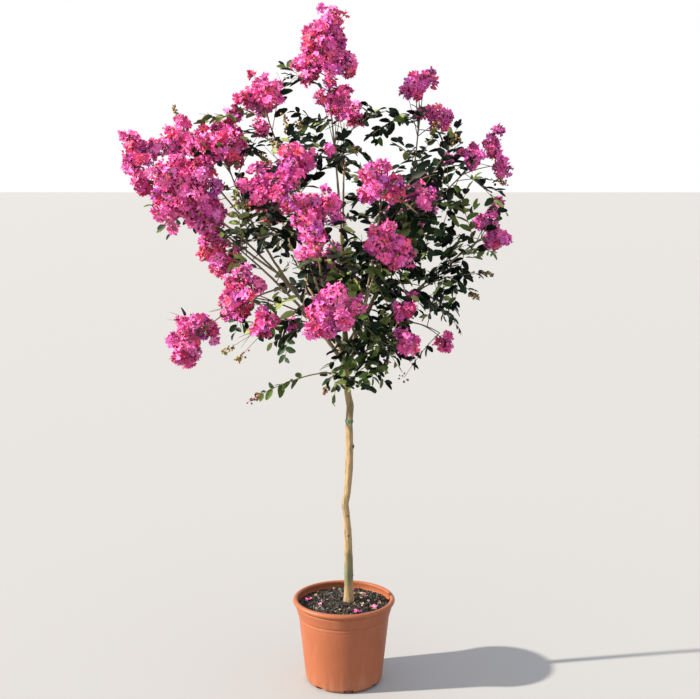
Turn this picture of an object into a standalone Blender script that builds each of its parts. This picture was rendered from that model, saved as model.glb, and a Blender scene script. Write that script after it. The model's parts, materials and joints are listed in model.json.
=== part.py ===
"""Potted crape myrtle standard: a pot of potting mix, one trunk, boughs, and masses of flower and leaf.

Metres, +Z up. The origin is the centre of the pot's flat underside, and -Y is the front.
A limb runs as one curve from its foot to the centre of its mass. The stretch outside the
mass's space is a bough, and the stretch inside it is the mass's stem, which carries the
shoots, the leaves and the flower heads.
"""
import math
from collections import namedtuple

import bmesh
import bpy
import numpy as np
from mathutils import Matrix

# Clear space between pieces that touch
GAP = 0.0003

# Pot
POT_HEIGHT = 0.255
FOOT_RADIUS = 0.098
HEEL_RADIUS = 0.1138
HEEL_HEIGHT = 0.015
SHOULDER_RADIUS = 0.1328
SHOULDER_HEIGHT = 0.194
NECK_RADIUS = 0.1460
NECK_HEIGHT = 0.243
LIP_RADIUS = 0.006
LIP_REACH = 0.1505
FLARE_POWER = 1.15
WALL = 0.0035
FLOOR = 0.006
GROOVE_HEIGHTS = (0.202, 0.168)
GROOVE_DEPTH = 0.0014
GROOVE_HALF_WIDTH = 0.0028
POT_STEPS = 24
DRAIN_COUNT = 8
DRAIN_SIZE = (0.028, 0.026, 0.018)
DRAIN_TURN = math.radians(232.0)

# Potting mix, mounded to a level place under the trunk
MIX_EDGE_HEIGHT = 0.231
MIX_TOP = 0.242
MIX_LEVEL_RADIUS = 0.036

# Trunk, from the flat cut on the mix to its head: height, across, back, radius
TRUNK_FOOT = MIX_TOP + GAP
TRUNK_STATIONS = (
    (TRUNK_FOOT, 0.0140, 0.0000, 0.0172),
    (0.2560, 0.0140, 0.0000, 0.0146),
    (0.2800, 0.0140, 0.0000, 0.0134),
    (0.3250, 0.0140, 0.0010, 0.0128),
    (0.3800, 0.0138, 0.0020, 0.0121),
    (0.4400, 0.0118, 0.0020, 0.0113),
    (0.5050, 0.0078, 0.0010, 0.0099),
    (0.5400, 0.0038, 0.0000, 0.0098),
    (0.5720, 0.0105, -0.0010, 0.0101),
    (0.6300, 0.0150, -0.0010, 0.0110),
    (0.7060, 0.0168, 0.0000, 0.0114),
    (0.7800, 0.0150, 0.0010, 0.0102),
    (0.8300, 0.0190, 0.0020, 0.0106),
    (0.8650, 0.0125, 0.0010, 0.0095),
    (0.9100, 0.0075, 0.0000, 0.0092),
    (0.9550, 0.0050, 0.0000, 0.0106),
    (1.0100, 0.0040, 0.0000, 0.0102),
    (1.0350, 0.0040, 0.0000, 0.0080),
)
TRUNK_SIDES = 10

# Bands tied round the trunk: name, height, width, tilt
TIES = (("upper_tie", 0.787, 0.010, 0.0), ("lower_tie", 0.325, 0.003, math.radians(10.0)))
TIE_SLACK = 0.0011
TIE_THICKNESS = 0.0012
TIE_STEPS = 12

# Limbs
LIMB_SIDES = 6
MAIN_RADIUS = 0.0058
FORK_PART = 0.78
BOUGH_TIP_RADIUS = 0.0024
STEM_TIP_RADIUS = 0.0015
BOUGH_SEGMENTS = 5
STEM_SEGMENTS = 2
LIMB_SAMPLES = 64

# Shoots and leaves
SHOOT_RADIUS = 0.0019
SHOOT_TIP_RADIUS = 0.0013
SHOOT_SEGMENTS = 2
SHOOT_LIFT = 0.10
SHOOT_LENGTH = 0.130
SHOOT_SPREAD = math.radians(115.0)
SHOOT_CUTS = (1.0, 0.8, 0.62, 0.45)
SHOOT_CHECKS = np.linspace(0.12, 1.0, 12)
SHOOT_TRIES = 5
LEAF_LENGTH = 0.078
LEAF_WIDTH = 0.042
LEAF_THICKNESS = 0.0024
LEAF_STEP = 0.060
LEAF_ANGLE = math.radians(50.0)
LEAF_SPREAD = math.radians(70.0)
LEAF_SIZES = (0.82, 1.08)
LEAF_SINK = 0.004
LEAF_PAIR_LEAD = 0.55
LEAF_PAIR_TAIL = 0.35
LEAF_RIM = ((0.3, 0.3), (0.5, 0.5), (0.7, 0.3))
LEAF_CHECKS = [(along, 0.0) for along in (0.15, 0.3, 0.45, 0.6, 0.75, 0.9, 1.03)]
LEAF_CHECKS += [(along, side * across) for along, across in LEAF_RIM for side in (-1, 1)]
SHOOT_START = 0.12
HEAD_SHOOT_START = 0.45
HEAD_SHOOT_RUN = 0.5
TRUNK_SHOOT_START = 0.36

# Flower heads
HEAD_SEGMENTS = 6
HEAD_RINGS = 4
HEAD_OFFSET = 0.58
HEAD_SPREAD = math.radians(125.0)
HEAD_LEAD = 0.06
HEAD_LOBES = 7
LOBE_HEIGHT = 0.34
LOBE_SHARPNESS = 5.0
HEAD_TRIES = 6
HEAD_STEP_IN = 0.12
HEAD_TWIST = 40.0
HEAD_CLEAR = 1.05
HEAD_CHECKS = np.linspace(0.12, 1.0, 16)

# Growing
GOLDEN_ANGLE = math.pi * (3.0 - math.sqrt(5.0))
GOLDEN_PART = 0.618
SPACE_MARGIN = 0.05
ENTRY_SHARE = 1.6
SPACE_LIMIT = 1.9
FEWEST_LEAVES = 2
LIMB_CLEARANCE = 0.004
CROWN_MIDDLE = (0.0, 0.0, 1.20)
SEED = 11

# Masses. A limb grows from the trunk at a height, from its tip, or from another mass's bough
# at a part of its length, and bows by a part of its span. Centre and reach are across, back, up.
Mass = namedtuple("Mass", "name parent foot bow centre reach heads head_radius shoots turn")
MASSES = (
    Mass("top_plume", "tip", 0.0, 0.03, (-0.052, 0.030, 1.815), (0.088, 0.092, 0.165), 6, 0.046, 2, 4.9),
    Mass("left_shoulder", "trunk", 1.004, -0.14, (-0.339, 0.030, 1.562), (0.094, 0.100, 0.089), 5, 0.046, 1, 2.8),
    Mass("left_hang", "trunk", 0.95, 0.08, (-0.332, -0.100, 1.329), (0.075, 0.090, 0.116), 2, 0.06, 2, 4.9),
    Mass("centre_high", "trunk", 0.972, -0.12, (-0.125, -0.200, 1.494), (0.106, 0.100, 0.090), 3, 0.047, 2, 2.6),
    Mass("right_centre", "trunk", 0.968, -0.05, (0.101, -0.280, 1.317), (0.083, 0.090, 0.083), 2, 0.049, 2, 0.3),
    Mass("high_right", "trunk", 1.0, -0.16, (0.214, 0.080, 1.695), (0.108, 0.110, 0.125), 3, 0.037, 2, 3.1),
    Mass("far_right", "trunk", 0.955, 0.06, (0.395, 0.000, 1.319), (0.079, 0.090, 0.096), 1, 0.037, 2, 2.8),
    Mass("back_right", "trunk", 0.978, -0.05, (0.210, 0.390, 1.400), (0.110, 0.100, 0.110), 4, 0.058, 2, 0.7),
    Mass("back_left", "trunk", 0.966, -0.05, (-0.230, 0.390, 1.430), (0.110, 0.100, 0.110), 4, 0.058, 2, 2.8),
    Mass("low_right", "trunk", 0.935, 0.1, (0.159, -0.120, 1.073), (0.080, 0.085, 0.100), 3, 0.031, 2, 6.3),
    Mass("far_left", "left_shoulder", 0.5, -0.06, (-0.562, 0.020, 1.532), (0.087, 0.085, 0.118), 5, 0.033, 1, 4.6),
    Mass("left_crest", "left_shoulder", 0.8, -0.06, (-0.451, 0.120, 1.579), (0.070, 0.080, 0.092), 2, 0.044, 2, 0.6),
    Mass("left_front", "left_shoulder", 0.34, 0.06, (-0.434, -0.140, 1.453), (0.102, 0.095, 0.086), 4, 0.057, 2, 3.0),
    Mass("low_left", "left_hang", 0.42, 0.1, (-0.246, -0.140, 1.163), (0.077, 0.085, 0.082), 1, 0.06, 2, 4.5),
    Mass("far_low_left", "left_hang", 0.72, 0.14, (-0.417, -0.020, 1.035), (0.080, 0.085, 0.091), 3, 0.051, 2, 1.4),
    Mass("high_left", "top_plume", 0.42, -0.1, (-0.227, 0.020, 1.700), (0.084, 0.090, 0.078), 4, 0.036, 2, 5.5),
    Mass("back_high", "top_plume", 0.3, 0.0, (0.000, 0.250, 1.640), (0.085, 0.090, 0.085), 2, 0.038, 2, 3.0),
    Mass("centre", "centre_high", 0.4, 0.08, (-0.079, -0.330, 1.380), (0.102, 0.090, 0.107), 3, 0.049, 2, 5.6),
    Mass("low_front_left", "centre_high", 0.2, 0.14, (-0.188, -0.230, 1.111), (0.080, 0.080, 0.066), 1, 0.038, 3, 4.3),
    Mass("front_low", "right_centre", 0.34, 0.14, (-0.015, -0.310, 1.157), (0.092, 0.090, 0.092), 2, 0.06, 2, 4.6),
    Mass("right_front", "right_centre", 0.62, -0.06, (0.102, -0.240, 1.460), (0.080, 0.085, 0.075), 1, 0.061, 3, 0.5),
    Mass("right_mid", "high_right", 0.4, 0.04, (0.195, -0.100, 1.416), (0.080, 0.085, 0.078), 1, 0.039, 3, 0.3),
    Mass("right", "high_right", 0.55, 0.05, (0.384, 0.060, 1.534), (0.113, 0.100, 0.085), 4, 0.029, 2, 5.0),
    Mass("right_low", "far_right", 0.55, 0.1, (0.290, -0.080, 1.215), (0.112, 0.095, 0.082), 0, 0.0, 5, 1.7),
    Mass("far_low_right", "far_right", 0.36, 0.16, (0.280, 0.080, 1.033), (0.074, 0.085, 0.080), 1, 0.032, 3, 2.5),
    Mass("back_low", "back_left", 0.36, 0.12, (-0.040, 0.350, 1.160), (0.110, 0.100, 0.090), 3, 0.06, 2, 2.3),
    Mass("heart", "trunk", 1.012, -0.24, (0.100, -0.070, 1.250), (0.100, 0.100, 0.140), 0, 0.0, 4, 2.3),
    Mass("skirt", "trunk", 0.905, 0.1, (-0.030, -0.075, 0.935), (0.090, 0.080, 0.048), 0, 0.0, 3, 1.0),
    Mass("trailing", "trunk", 0.925, 0.16, (-0.150, -0.030, 0.908), (0.130, 0.080, 0.050), 0, 0.0, 4, 2.9),
)
ON_TRUNK = ("heart", "skirt", "trailing")

# Finishes: colour, roughness
FINISHES = {
    "terracotta_plastic": ((0.62, 0.20, 0.085, 1.0), 0.45),
    "potting_mix": ((0.035, 0.028, 0.022, 1.0), 0.95),
    "bark": ((0.30, 0.20, 0.115, 1.0), 0.8),
    "green_tape": ((0.12, 0.36, 0.22, 1.0), 0.5),
    "leaf": ((0.035, 0.095, 0.025, 1.0), 0.5),
    "petal": ((0.78, 0.045, 0.24, 1.0), 0.6),
}

Limb = namedtuple("Limb", "points radii")


def share(points, mass):
    """How far out points lie in a mass's space: 0 at its centre, 1 at its reach."""
    return np.linalg.norm((points - np.array(mass.centre)) / np.array(mass.reach), axis=-1)


def in_space(points, mass):
    """Which points lie in a mass's space and by a margin nearer to it than to any other."""
    own = share(points, mass)
    others = np.min([share(points, other) for other in MASSES if other is not mass], axis=0)
    return (own < SPACE_LIMIT) & (own + SPACE_MARGIN < others)


def limb_clearance(points, limbs):
    """Distance from each point to the nearest surface of any limb."""
    starts = np.concatenate([limb.points[:-1] for limb in limbs])
    along = np.concatenate([np.diff(limb.points, axis=0) for limb in limbs])
    radii = np.concatenate([np.maximum(limb.radii[:-1], limb.radii[1:]) for limb in limbs])
    offset = points[:, None] - starts
    part = np.clip((offset * along).sum(-1) / (along * along).sum(-1), 0.0, 1.0)
    return (np.linalg.norm(offset - part[..., None] * along, axis=-1) - radii).min(axis=1)


def curve_points(foot, control, end, count, start=0.0, stop=1.0):
    """Points along a quadratic curve, between two values of its parameter."""
    t = np.linspace(start, stop, count)[:, None]
    return (1 - t) ** 2 * foot + 2 * t * (1 - t) * control + t ** 2 * end


def along_limb(limb, part):
    """The point at a part of a limb's number of segments."""
    place = part * (len(limb.points) - 1)
    index = min(int(place), len(limb.points) - 2)
    return limb.points[index] + (place - index) * (limb.points[index + 1] - limb.points[index])


def radius_along(limb, part):
    """The radius at a part of a limb's number of segments."""
    return float(np.interp(part * (len(limb.radii) - 1), np.arange(len(limb.radii)), limb.radii))


def trunk_limb():
    """The trunk's centre line and radii."""
    stations = np.array(TRUNK_STATIONS)
    return Limb(stations[:, [1, 2, 0]], stations[:, 3])


def trunk_point(trunk, height):
    """The place and the radius of the trunk's centre line at a height."""
    heights = trunk.points[:, 2]
    across = np.interp(height, heights, trunk.points[:, 0])
    back = np.interp(height, heights, trunk.points[:, 1])
    return np.array((across, back, height)), float(np.interp(height, heights, trunk.radii))


def limb_foot(mass, trunk, boughs):
    """Where a mass's limb starts."""
    if mass.parent == "trunk":
        return trunk_point(trunk, mass.foot)[0]
    if mass.parent == "tip":
        return trunk.points[-1] + np.array((0.0, 0.0, GAP))
    return along_limb(boughs[mass.parent], mass.foot)


def limb_curve(mass, foot):
    """The limb's curve: its control point stands off the middle of the span by the bow."""
    centre = np.array(mass.centre)
    span = centre - foot
    length = np.linalg.norm(span)
    level = np.array((span[0], span[1], 0.0))
    upward = np.cross(np.cross(span, (0.0, 0.0, 1.0)), span)
    upward /= max(np.linalg.norm(upward), 1e-9)
    if mass.parent == "tip":
        upward = -level / np.linalg.norm(level)
    return foot, foot + span / 2 + upward * mass.bow * length, centre


def space_entry(curve, mass):
    """The curve's parameter where it comes into the mass's space for good."""
    t = np.linspace(0.0, 1.0, LIMB_SAMPLES)
    points = curve_points(*curve, LIMB_SAMPLES)
    outside = ~(in_space(points, mass) & (share(points, mass) < ENTRY_SHARE))
    return t[np.flatnonzero(outside).max() + 1]


def grow_limbs(trunk):
    """Every bough, and every mass's stem, worked out from the masses' table."""
    boughs = {}
    stems = {}
    for mass in MASSES:
        curve = limb_curve(mass, limb_foot(mass, trunk, boughs))
        if mass.name in ON_TRUNK:
            points = curve_points(*curve, BOUGH_SEGMENTS)
            stems[mass.name] = Limb(points, np.linspace(BOUGH_TIP_RADIUS, STEM_TIP_RADIUS, len(points)))
            continue
        entry = space_entry(curve, mass)
        foot_radius = MAIN_RADIUS
        if mass.parent in boughs:
            foot_radius = FORK_PART * radius_along(boughs[mass.parent], mass.foot)
        tip_radius = min(BOUGH_TIP_RADIUS, foot_radius)
        points = curve_points(*curve, BOUGH_SEGMENTS + 1, stop=entry)
        boughs[mass.name] = Limb(points, np.linspace(foot_radius, tip_radius, len(points)))
        points = curve_points(*curve, STEM_SEGMENTS + 1, start=entry)
        heading = points[1] - points[0]
        points[0] += GAP * heading / np.linalg.norm(heading)
        stems[mass.name] = Limb(points, np.linspace(tip_radius, STEM_TIP_RADIUS, len(points)))
    return boughs, stems


def spiral(count, axis, spread, turn, lead=0.5):
    """Unit directions that spiral out from an axis to an angle of spread, a golden angle apart."""
    axis = np.array(axis) / np.linalg.norm(axis)
    side = np.cross(axis, (0.0, 0.0, 1.0))
    side /= max(np.linalg.norm(side), 1e-9)
    other = np.cross(axis, side)
    step = np.arange(count)
    tilt = spread * np.sqrt((step + lead) / max(count, 1))
    angle = turn + step * GOLDEN_ANGLE
    ring = np.cos(angle)[:, None] * side + np.sin(angle)[:, None] * other
    return np.cos(tilt)[:, None] * axis + np.sin(tilt)[:, None] * ring


def outward(mass):
    """A mass's outward direction, from the middle of the crown through its centre."""
    return np.array(mass.centre) - np.array(CROWN_MIDDLE)


def lobed_radius(directions, turn):
    """A flower head's radius of 1, raised into lobes that stand evenly round it."""
    lobes = spiral(HEAD_LOBES, (0.0, 0.0, 1.0), math.pi, turn)
    nearness = np.exp(LOBE_SHARPNESS * (directions @ lobes.T - 1.0)).max(axis=1)
    return 1.0 - LOBE_HEIGHT + LOBE_HEIGHT * nearness


def clipped_reach(centre, directions, reaches, mass, limbs):
    """Each reach cut back to where the mass's own space ends or a limb comes near."""
    points = centre + directions[:, None] * (reaches[:, None] * HEAD_CHECKS)[..., None]
    flat = points.reshape(-1, 3)
    free = in_space(flat, mass) & (limb_clearance(flat, limbs) > LIMB_CLEARANCE)
    free = np.cumprod(free.reshape(len(directions), len(HEAD_CHECKS)), axis=1)
    return reaches * HEAD_CHECKS[np.maximum(free.sum(axis=1) - 1, 0)]


def all_free(points, mass, limbs):
    """Whether all points keep to the mass's space and clear of every limb."""
    return bool(np.all(in_space(points, mass) & (limb_clearance(points, limbs) > LIMB_CLEARANCE)))


def free_shoot(path, mass, limbs):
    """Whether a shoot is free from a little way off its foot to its tip."""
    shoot = Limb(path, None)
    return all_free(np.array([along_limb(shoot, part) for part in SHOOT_CHECKS]), mass, limbs)


def shoot_path(start, end):
    """A shoot's points, lifted a little in the middle."""
    lift = np.array((0.0, 0.0, SHOOT_LIFT * np.linalg.norm(end - start)))
    return curve_points(start, (start + end) / 2 + lift, end, SHOOT_SEGMENTS + 1)


def place_heads(mass, stem, limbs):
    """The flower heads' centres and the shoots that carry them, each moved on until it is free."""
    heads = []
    ways = spiral(mass.heads, outward(mass), HEAD_SPREAD, mass.turn, HEAD_LEAD)
    for number, way in enumerate(ways):
        for attempt in range(HEAD_TRIES):
            offset = HEAD_OFFSET * (1.0 - HEAD_STEP_IN * attempt)
            centre = np.array(mass.centre) + way * offset * np.array(mass.reach)
            start = HEAD_SHOOT_START + HEAD_SHOOT_RUN * number / mass.heads
            path = shoot_path(along_limb(stem, start), centre)
            if free_shoot(path, mass, limbs):
                heads.append((centre, path))
                break
    return heads


def place_shoots(mass, stem, heads, limbs, rng):
    """The leafy shoots' paths and leaves, each cut back to the part that is free, up to the mass's number."""
    grown = []
    first = TRUNK_SHOOT_START if mass.name in ON_TRUNK else SHOOT_START
    for number, way in enumerate(spiral(mass.shoots * SHOOT_TRIES, -outward(mass), SHOOT_SPREAD, mass.turn)):
        start = along_limb(stem, first + (1.0 - first) * (number * GOLDEN_PART % 1.0))
        for part in SHOOT_CUTS:
            path = shoot_path(start, start + part * SHOOT_LENGTH * way)
            if not free_shoot(path, mass, limbs):
                continue
            frames = leaf_frames(path, mass, limbs, heads, rng)
            if len(frames) >= FEWEST_LEAVES:
                grown.append((path, frames))
                break
        if len(grown) == mass.shoots:
            break
    return grown


def leaf_frames(path, mass, limbs, heads, rng):
    """Matrices for the leaves that stand in pairs along a shoot, with one at its tip."""
    frames = []
    length = np.linalg.norm(np.diff(path, axis=0), axis=1).sum()
    pairs = max(1, int(length / LEAF_STEP))
    parts = [(1.0, 0.0)]
    for pair in range(pairs):
        part = (pair + LEAF_PAIR_LEAD) / (pairs + LEAF_PAIR_TAIL)
        parts += [(part, LEAF_ANGLE), (part, -LEAF_ANGLE)]
    shoot = Limb(path, np.zeros(len(path)))
    heading = path[-1] - path[0]
    heading /= np.linalg.norm(heading)
    flat = np.cross(heading, (0.0, 0.0, 1.0))
    flat /= max(np.linalg.norm(flat), 1e-9)
    roll = rng.uniform(-LEAF_SPREAD, LEAF_SPREAD)
    side = math.cos(roll) * flat + math.sin(roll) * np.cross(heading, flat)
    for part, angle in parts:
        root = along_limb(shoot, part) - heading * (LEAF_SINK if angle == 0.0 else 0.0)
        way = math.cos(angle) * heading + math.sin(angle) * side
        size = rng.uniform(*LEAF_SIZES)
        width_way = np.cross(np.cross(heading, side), way)
        outline = np.array([root + size * (LEAF_LENGTH * along * way + LEAF_WIDTH * across * width_way)
                            for along, across in LEAF_CHECKS])
        if not all_free(outline, mass, limbs):
            continue
        if any(np.any(np.linalg.norm(outline - middle, axis=1) < HEAD_CLEAR * reach) for middle, reach in heads):
            continue
        normal = np.cross(way, width_way)
        basis = Matrix((way, width_way, normal)).transposed()
        frames.append(Matrix.Translation(root) @ basis.to_4x4() @ Matrix.Scale(size, 4))
    return frames


def fresh_collection(name):
    """A new collection in the scene."""
    collection = bpy.data.collections.new(name)
    bpy.context.scene.collection.children.link(collection)
    return collection


def finish(name):
    """A material of the finish's colour and roughness."""
    material = bpy.data.materials.get(name)
    if material is None:
        colour, roughness = FINISHES[name]
        material = bpy.data.materials.new(name)
        material.use_nodes = True
        shader = material.node_tree.nodes["Principled BSDF"]
        shader.inputs["Base Color"].default_value = colour
        shader.inputs["Roughness"].default_value = roughness
        shader.inputs["Metallic"].default_value = 0.0
        material.diffuse_color = colour
    return material


def add_object(name, data, collection, finish_name):
    """A new object in a collection, with its material."""
    item = bpy.data.objects.new(name, data)
    collection.objects.link(item)
    if finish_name and not data.materials:
        data.materials.append(finish(finish_name))
    return item


def evaluated_mesh(item):
    """The mesh that an object's curve or modifiers make."""
    depsgraph = bpy.context.evaluated_depsgraph_get()
    return bpy.data.meshes.new_from_object(item.evaluated_get(depsgraph))


def triangle_section():
    """The three-sided outline that a shoot is drawn along, of radius 1."""
    curve = bpy.data.curves.new("shoot_section", "CURVE")
    spline = curve.splines.new("POLY")
    spline.points.add(2)
    for number, point in enumerate(spline.points):
        angle = math.tau * number / 3
        point.co = (math.cos(angle), math.sin(angle), 0.0, 1.0)
    spline.use_cyclic_u = True
    return curve


def tube(name, limb, sides, collection, finish_name, section=None):
    """A tapering tube along a limb, made a closed mesh."""
    curve = bpy.data.curves.new(name, "CURVE")
    curve.dimensions = "3D"
    curve.use_fill_caps = True
    if section is None:
        curve.bevel_depth = 1.0
        curve.bevel_resolution = (sides - 4) // 2
    else:
        curve.bevel_mode = "OBJECT"
        curve.bevel_object = section
    spline = curve.splines.new("POLY")
    spline.points.add(len(limb.points) - 1)
    for point, place, radius in zip(spline.points, limb.points, limb.radii):
        point.co = (*place, 1.0)
        point.radius = radius
    drawn = add_object(name + "_line", curve, collection, None)
    mesh = evaluated_mesh(drawn)
    shape = bmesh.new()
    shape.from_mesh(mesh)
    bmesh.ops.remove_doubles(shape, verts=shape.verts, dist=0.00001)
    bmesh.ops.recalc_face_normals(shape, faces=shape.faces)
    shape.to_mesh(mesh)
    shape.free()
    mesh.shade_smooth()
    made = add_object(name, mesh, collection, finish_name)
    made.matrix_world = drawn.matrix_world
    bpy.data.objects.remove(drawn)
    bpy.data.curves.remove(curve)
    return made


def turned(name, profile, steps, collection, finish_name, ring=False):
    """A profile of (radius, height) points turned round the Z axis, or a closed one turned to a ring."""
    mesh = bpy.data.meshes.new(name)
    points = [(radius, 0.0, height) for radius, height in profile]
    edges = [(n, n + 1) for n in range(len(points) - 1)]
    if ring:
        edges.append((len(points) - 1, 0))
    mesh.from_pydata(points, edges, [])
    item = add_object(name, mesh, collection, finish_name)
    screw = item.modifiers.new("turn", "SCREW")
    screw.steps = steps
    screw.render_steps = steps
    screw.use_merge_vertices = True
    screw.merge_threshold = 0.00001
    screw.use_smooth_shade = True
    return item


def cut(item, cutter):
    """Cut one piece with another."""
    modifier = item.modifiers.new("cut", "BOOLEAN")
    modifier.operation = "DIFFERENCE"
    modifier.object = cutter


def hide_helper(item):
    """Keep a cutter or a guide out of the model."""
    item.hide_render = True
    item.display_type = "WIRE"


def wall_radius(height):
    """The outer radius of the pot's wall: a straight taper, then a flare up to the lip."""
    if height <= SHOULDER_HEIGHT:
        part = (height - HEEL_HEIGHT) / (SHOULDER_HEIGHT - HEEL_HEIGHT)
        return HEEL_RADIUS + (SHOULDER_RADIUS - HEEL_RADIUS) * part
    part = (height - SHOULDER_HEIGHT) / (NECK_HEIGHT - SHOULDER_HEIGHT)
    return SHOULDER_RADIUS + (NECK_RADIUS - SHOULDER_RADIUS) * part ** FLARE_POWER


def inner_wall(lowest, highest, clear):
    """Points up the pot's inside, a clear distance in from it."""
    heights = [lowest, HEEL_HEIGHT, SHOULDER_HEIGHT, highest]
    heel_shrink = 0.5 * (HEEL_RADIUS - FOOT_RADIUS)
    radii = [wall_radius(height) - WALL - clear for height in heights]
    radii[0] -= heel_shrink
    return list(zip(radii, heights))


def pot_profile():
    """The pot's section, from the middle of its inside floor, over the lip, to its underside."""
    profile = [(0.0, FLOOR)] + inner_wall(FLOOR, MIX_EDGE_HEIGHT, 0.0)
    profile.append((wall_radius(NECK_HEIGHT) - WALL, NECK_HEIGHT))
    middle = (LIP_REACH - LIP_RADIUS, POT_HEIGHT - LIP_RADIUS)
    for angle in np.radians((140.0, 90.0, 40.0, -10.0, -60.0)):
        profile.append((middle[0] + LIP_RADIUS * math.cos(angle), middle[1] + LIP_RADIUS * math.sin(angle)))
    profile.append((wall_radius(0.5 * (NECK_HEIGHT + SHOULDER_HEIGHT)), 0.5 * (NECK_HEIGHT + SHOULDER_HEIGHT)))
    for height in GROOVE_HEIGHTS:
        profile.append((wall_radius(height + GROOVE_HALF_WIDTH), height + GROOVE_HALF_WIDTH))
        profile.append((wall_radius(height) - GROOVE_DEPTH, height))
        profile.append((wall_radius(height - GROOVE_HALF_WIDTH), height - GROOVE_HALF_WIDTH))
    for angle in np.radians((90.0, 60.0, 30.0, 0.0)):
        radius = FOOT_RADIUS + (HEEL_RADIUS - FOOT_RADIUS) * math.sin(angle)
        profile.append((radius, HEEL_HEIGHT * (1.0 - math.cos(angle))))
    profile.append((0.0, 0.0))
    return profile


def build_pot(parts, cutters):
    """The pot, with drain slots through its rounded bottom edge."""
    pot = turned("pot", pot_profile(), POT_STEPS, parts, "terracotta_plastic")
    for number in range(DRAIN_COUNT):
        angle = DRAIN_TURN + math.tau * number / DRAIN_COUNT
        bpy.ops.mesh.primitive_cube_add(size=1.0)
        cutter = bpy.context.active_object
        cutter.name = f"drain_cutter_{number + 1}"
        cutter.scale = DRAIN_SIZE
        cutter.rotation_euler = (0.0, 0.0, angle)
        cutter.location = (HEEL_RADIUS * math.cos(angle), HEEL_RADIUS * math.sin(angle), 0.0)
        for collection in list(cutter.users_collection):
            collection.objects.unlink(cutter)
        cutters.objects.link(cutter)
        hide_helper(cutter)
        cut(pot, cutter)


def build_mix(parts):
    """The potting mix in the pot, mounded to a level place under the trunk."""
    sides = inner_wall(FLOOR + GAP, MIX_EDGE_HEIGHT, 2.0 * GAP)
    profile = [(0.0, MIX_TOP), (MIX_LEVEL_RADIUS, MIX_TOP)]
    profile.append((0.5 * (MIX_LEVEL_RADIUS + sides[-1][0]), 0.5 * (MIX_TOP + MIX_EDGE_HEIGHT) + 0.001))
    profile += list(reversed(sides))
    profile.append((0.0, FLOOR + GAP))
    turned("potting_mix", profile, POT_STEPS, parts, "potting_mix")


def build_tie(name, height, width, tilt, trunk, parts):
    """A thin band round the trunk, clear of the bark."""
    middle, radius = trunk_point(trunk, height)
    inner = radius + TIE_SLACK
    outer = inner + TIE_THICKNESS
    profile = [(inner, -width / 2), (inner, width / 2), (outer, width / 2), (outer, -width / 2)]
    band = turned(name, profile, TIE_STEPS, parts, "green_tape", ring=True)
    band.location = middle
    band.rotation_euler = (0.0, tilt, 0.0)


def leaf_mesh():
    """A flat eight-faced leaf, with its root at the origin and its tip along +X."""
    shape = bmesh.new()
    bmesh.ops.create_uvsphere(shape, u_segments=4, v_segments=2, radius=0.5)
    turn = Matrix.Rotation(math.radians(90.0), 4, "Y")
    size = Matrix.Diagonal((LEAF_LENGTH, LEAF_WIDTH, LEAF_THICKNESS, 1.0))
    root = Matrix.Translation((0.5 * LEAF_LENGTH, 0.0, 0.0))
    shape.transform(root @ size @ turn)
    bmesh.ops.recalc_face_normals(shape, faces=shape.faces)
    mesh = bpy.data.meshes.new("leaf")
    shape.to_mesh(mesh)
    shape.free()
    mesh.materials.append(finish("leaf"))
    return mesh


def head_mesh(name, centre, mass, limbs):
    """A lobed lump of flowers round a centre, kept to the mass's space. Gives its mean radius too."""
    shape = bmesh.new()
    bmesh.ops.create_uvsphere(shape, u_segments=HEAD_SEGMENTS, v_segments=HEAD_RINGS, radius=1.0)
    directions = np.array([tuple(vertex.co) for vertex in shape.verts])
    reaches = mass.head_radius * lobed_radius(directions, mass.turn + HEAD_TWIST * centre[0])
    reaches = clipped_reach(centre, directions, reaches, mass, limbs)
    for vertex, direction, reach in zip(shape.verts, directions, reaches):
        vertex.co = centre + direction * reach
    mesh = bpy.data.meshes.new(name)
    shape.to_mesh(mesh)
    shape.free()
    mesh.shade_smooth()
    mesh.materials.append(finish("petal"))
    return mesh, float(reaches.mean())


def keep_outer_body(mesh):
    """Drop loose scraps and sealed hollows, which leaves the one outer body."""
    shape = bmesh.new()
    shape.from_mesh(mesh)
    bmesh.ops.triangulate(shape, faces=shape.faces)
    waiting = set(shape.faces)
    bodies = []
    while waiting:
        queue = [waiting.pop()]
        body = list(queue)
        while queue:
            for edge in queue.pop().edges:
                for face in edge.link_faces:
                    if face in waiting:
                        waiting.remove(face)
                        queue.append(face)
                        body.append(face)
        bodies.append(body)

    def volume(body):
        corners = [[corner.co for corner in face.verts] for face in body]
        return sum(a.dot(b.cross(c)) for a, b, c in corners) / 6.0

    largest = max(bodies, key=volume)
    scraps = [face for body in bodies if body is not largest for face in body]
    bmesh.ops.delete(shape, geom=scraps, context="FACES")
    shape.to_mesh(mesh)
    shape.free()


def join_pieces(stem, pieces):
    """Fuse a collection of pieces to a stem with one union, and remove the pieces."""
    modifier = stem.modifiers.new("join", "BOOLEAN")
    modifier.operation = "UNION"
    modifier.operand_type = "COLLECTION"
    modifier.collection = pieces
    modifier.material_mode = "TRANSFER"
    joined = evaluated_mesh(stem)
    stem.modifiers.clear()
    stem.data = joined
    for piece in list(pieces.objects):
        bpy.data.objects.remove(piece)
    bpy.data.collections.remove(pieces)
    keep_outer_body(joined)


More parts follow.
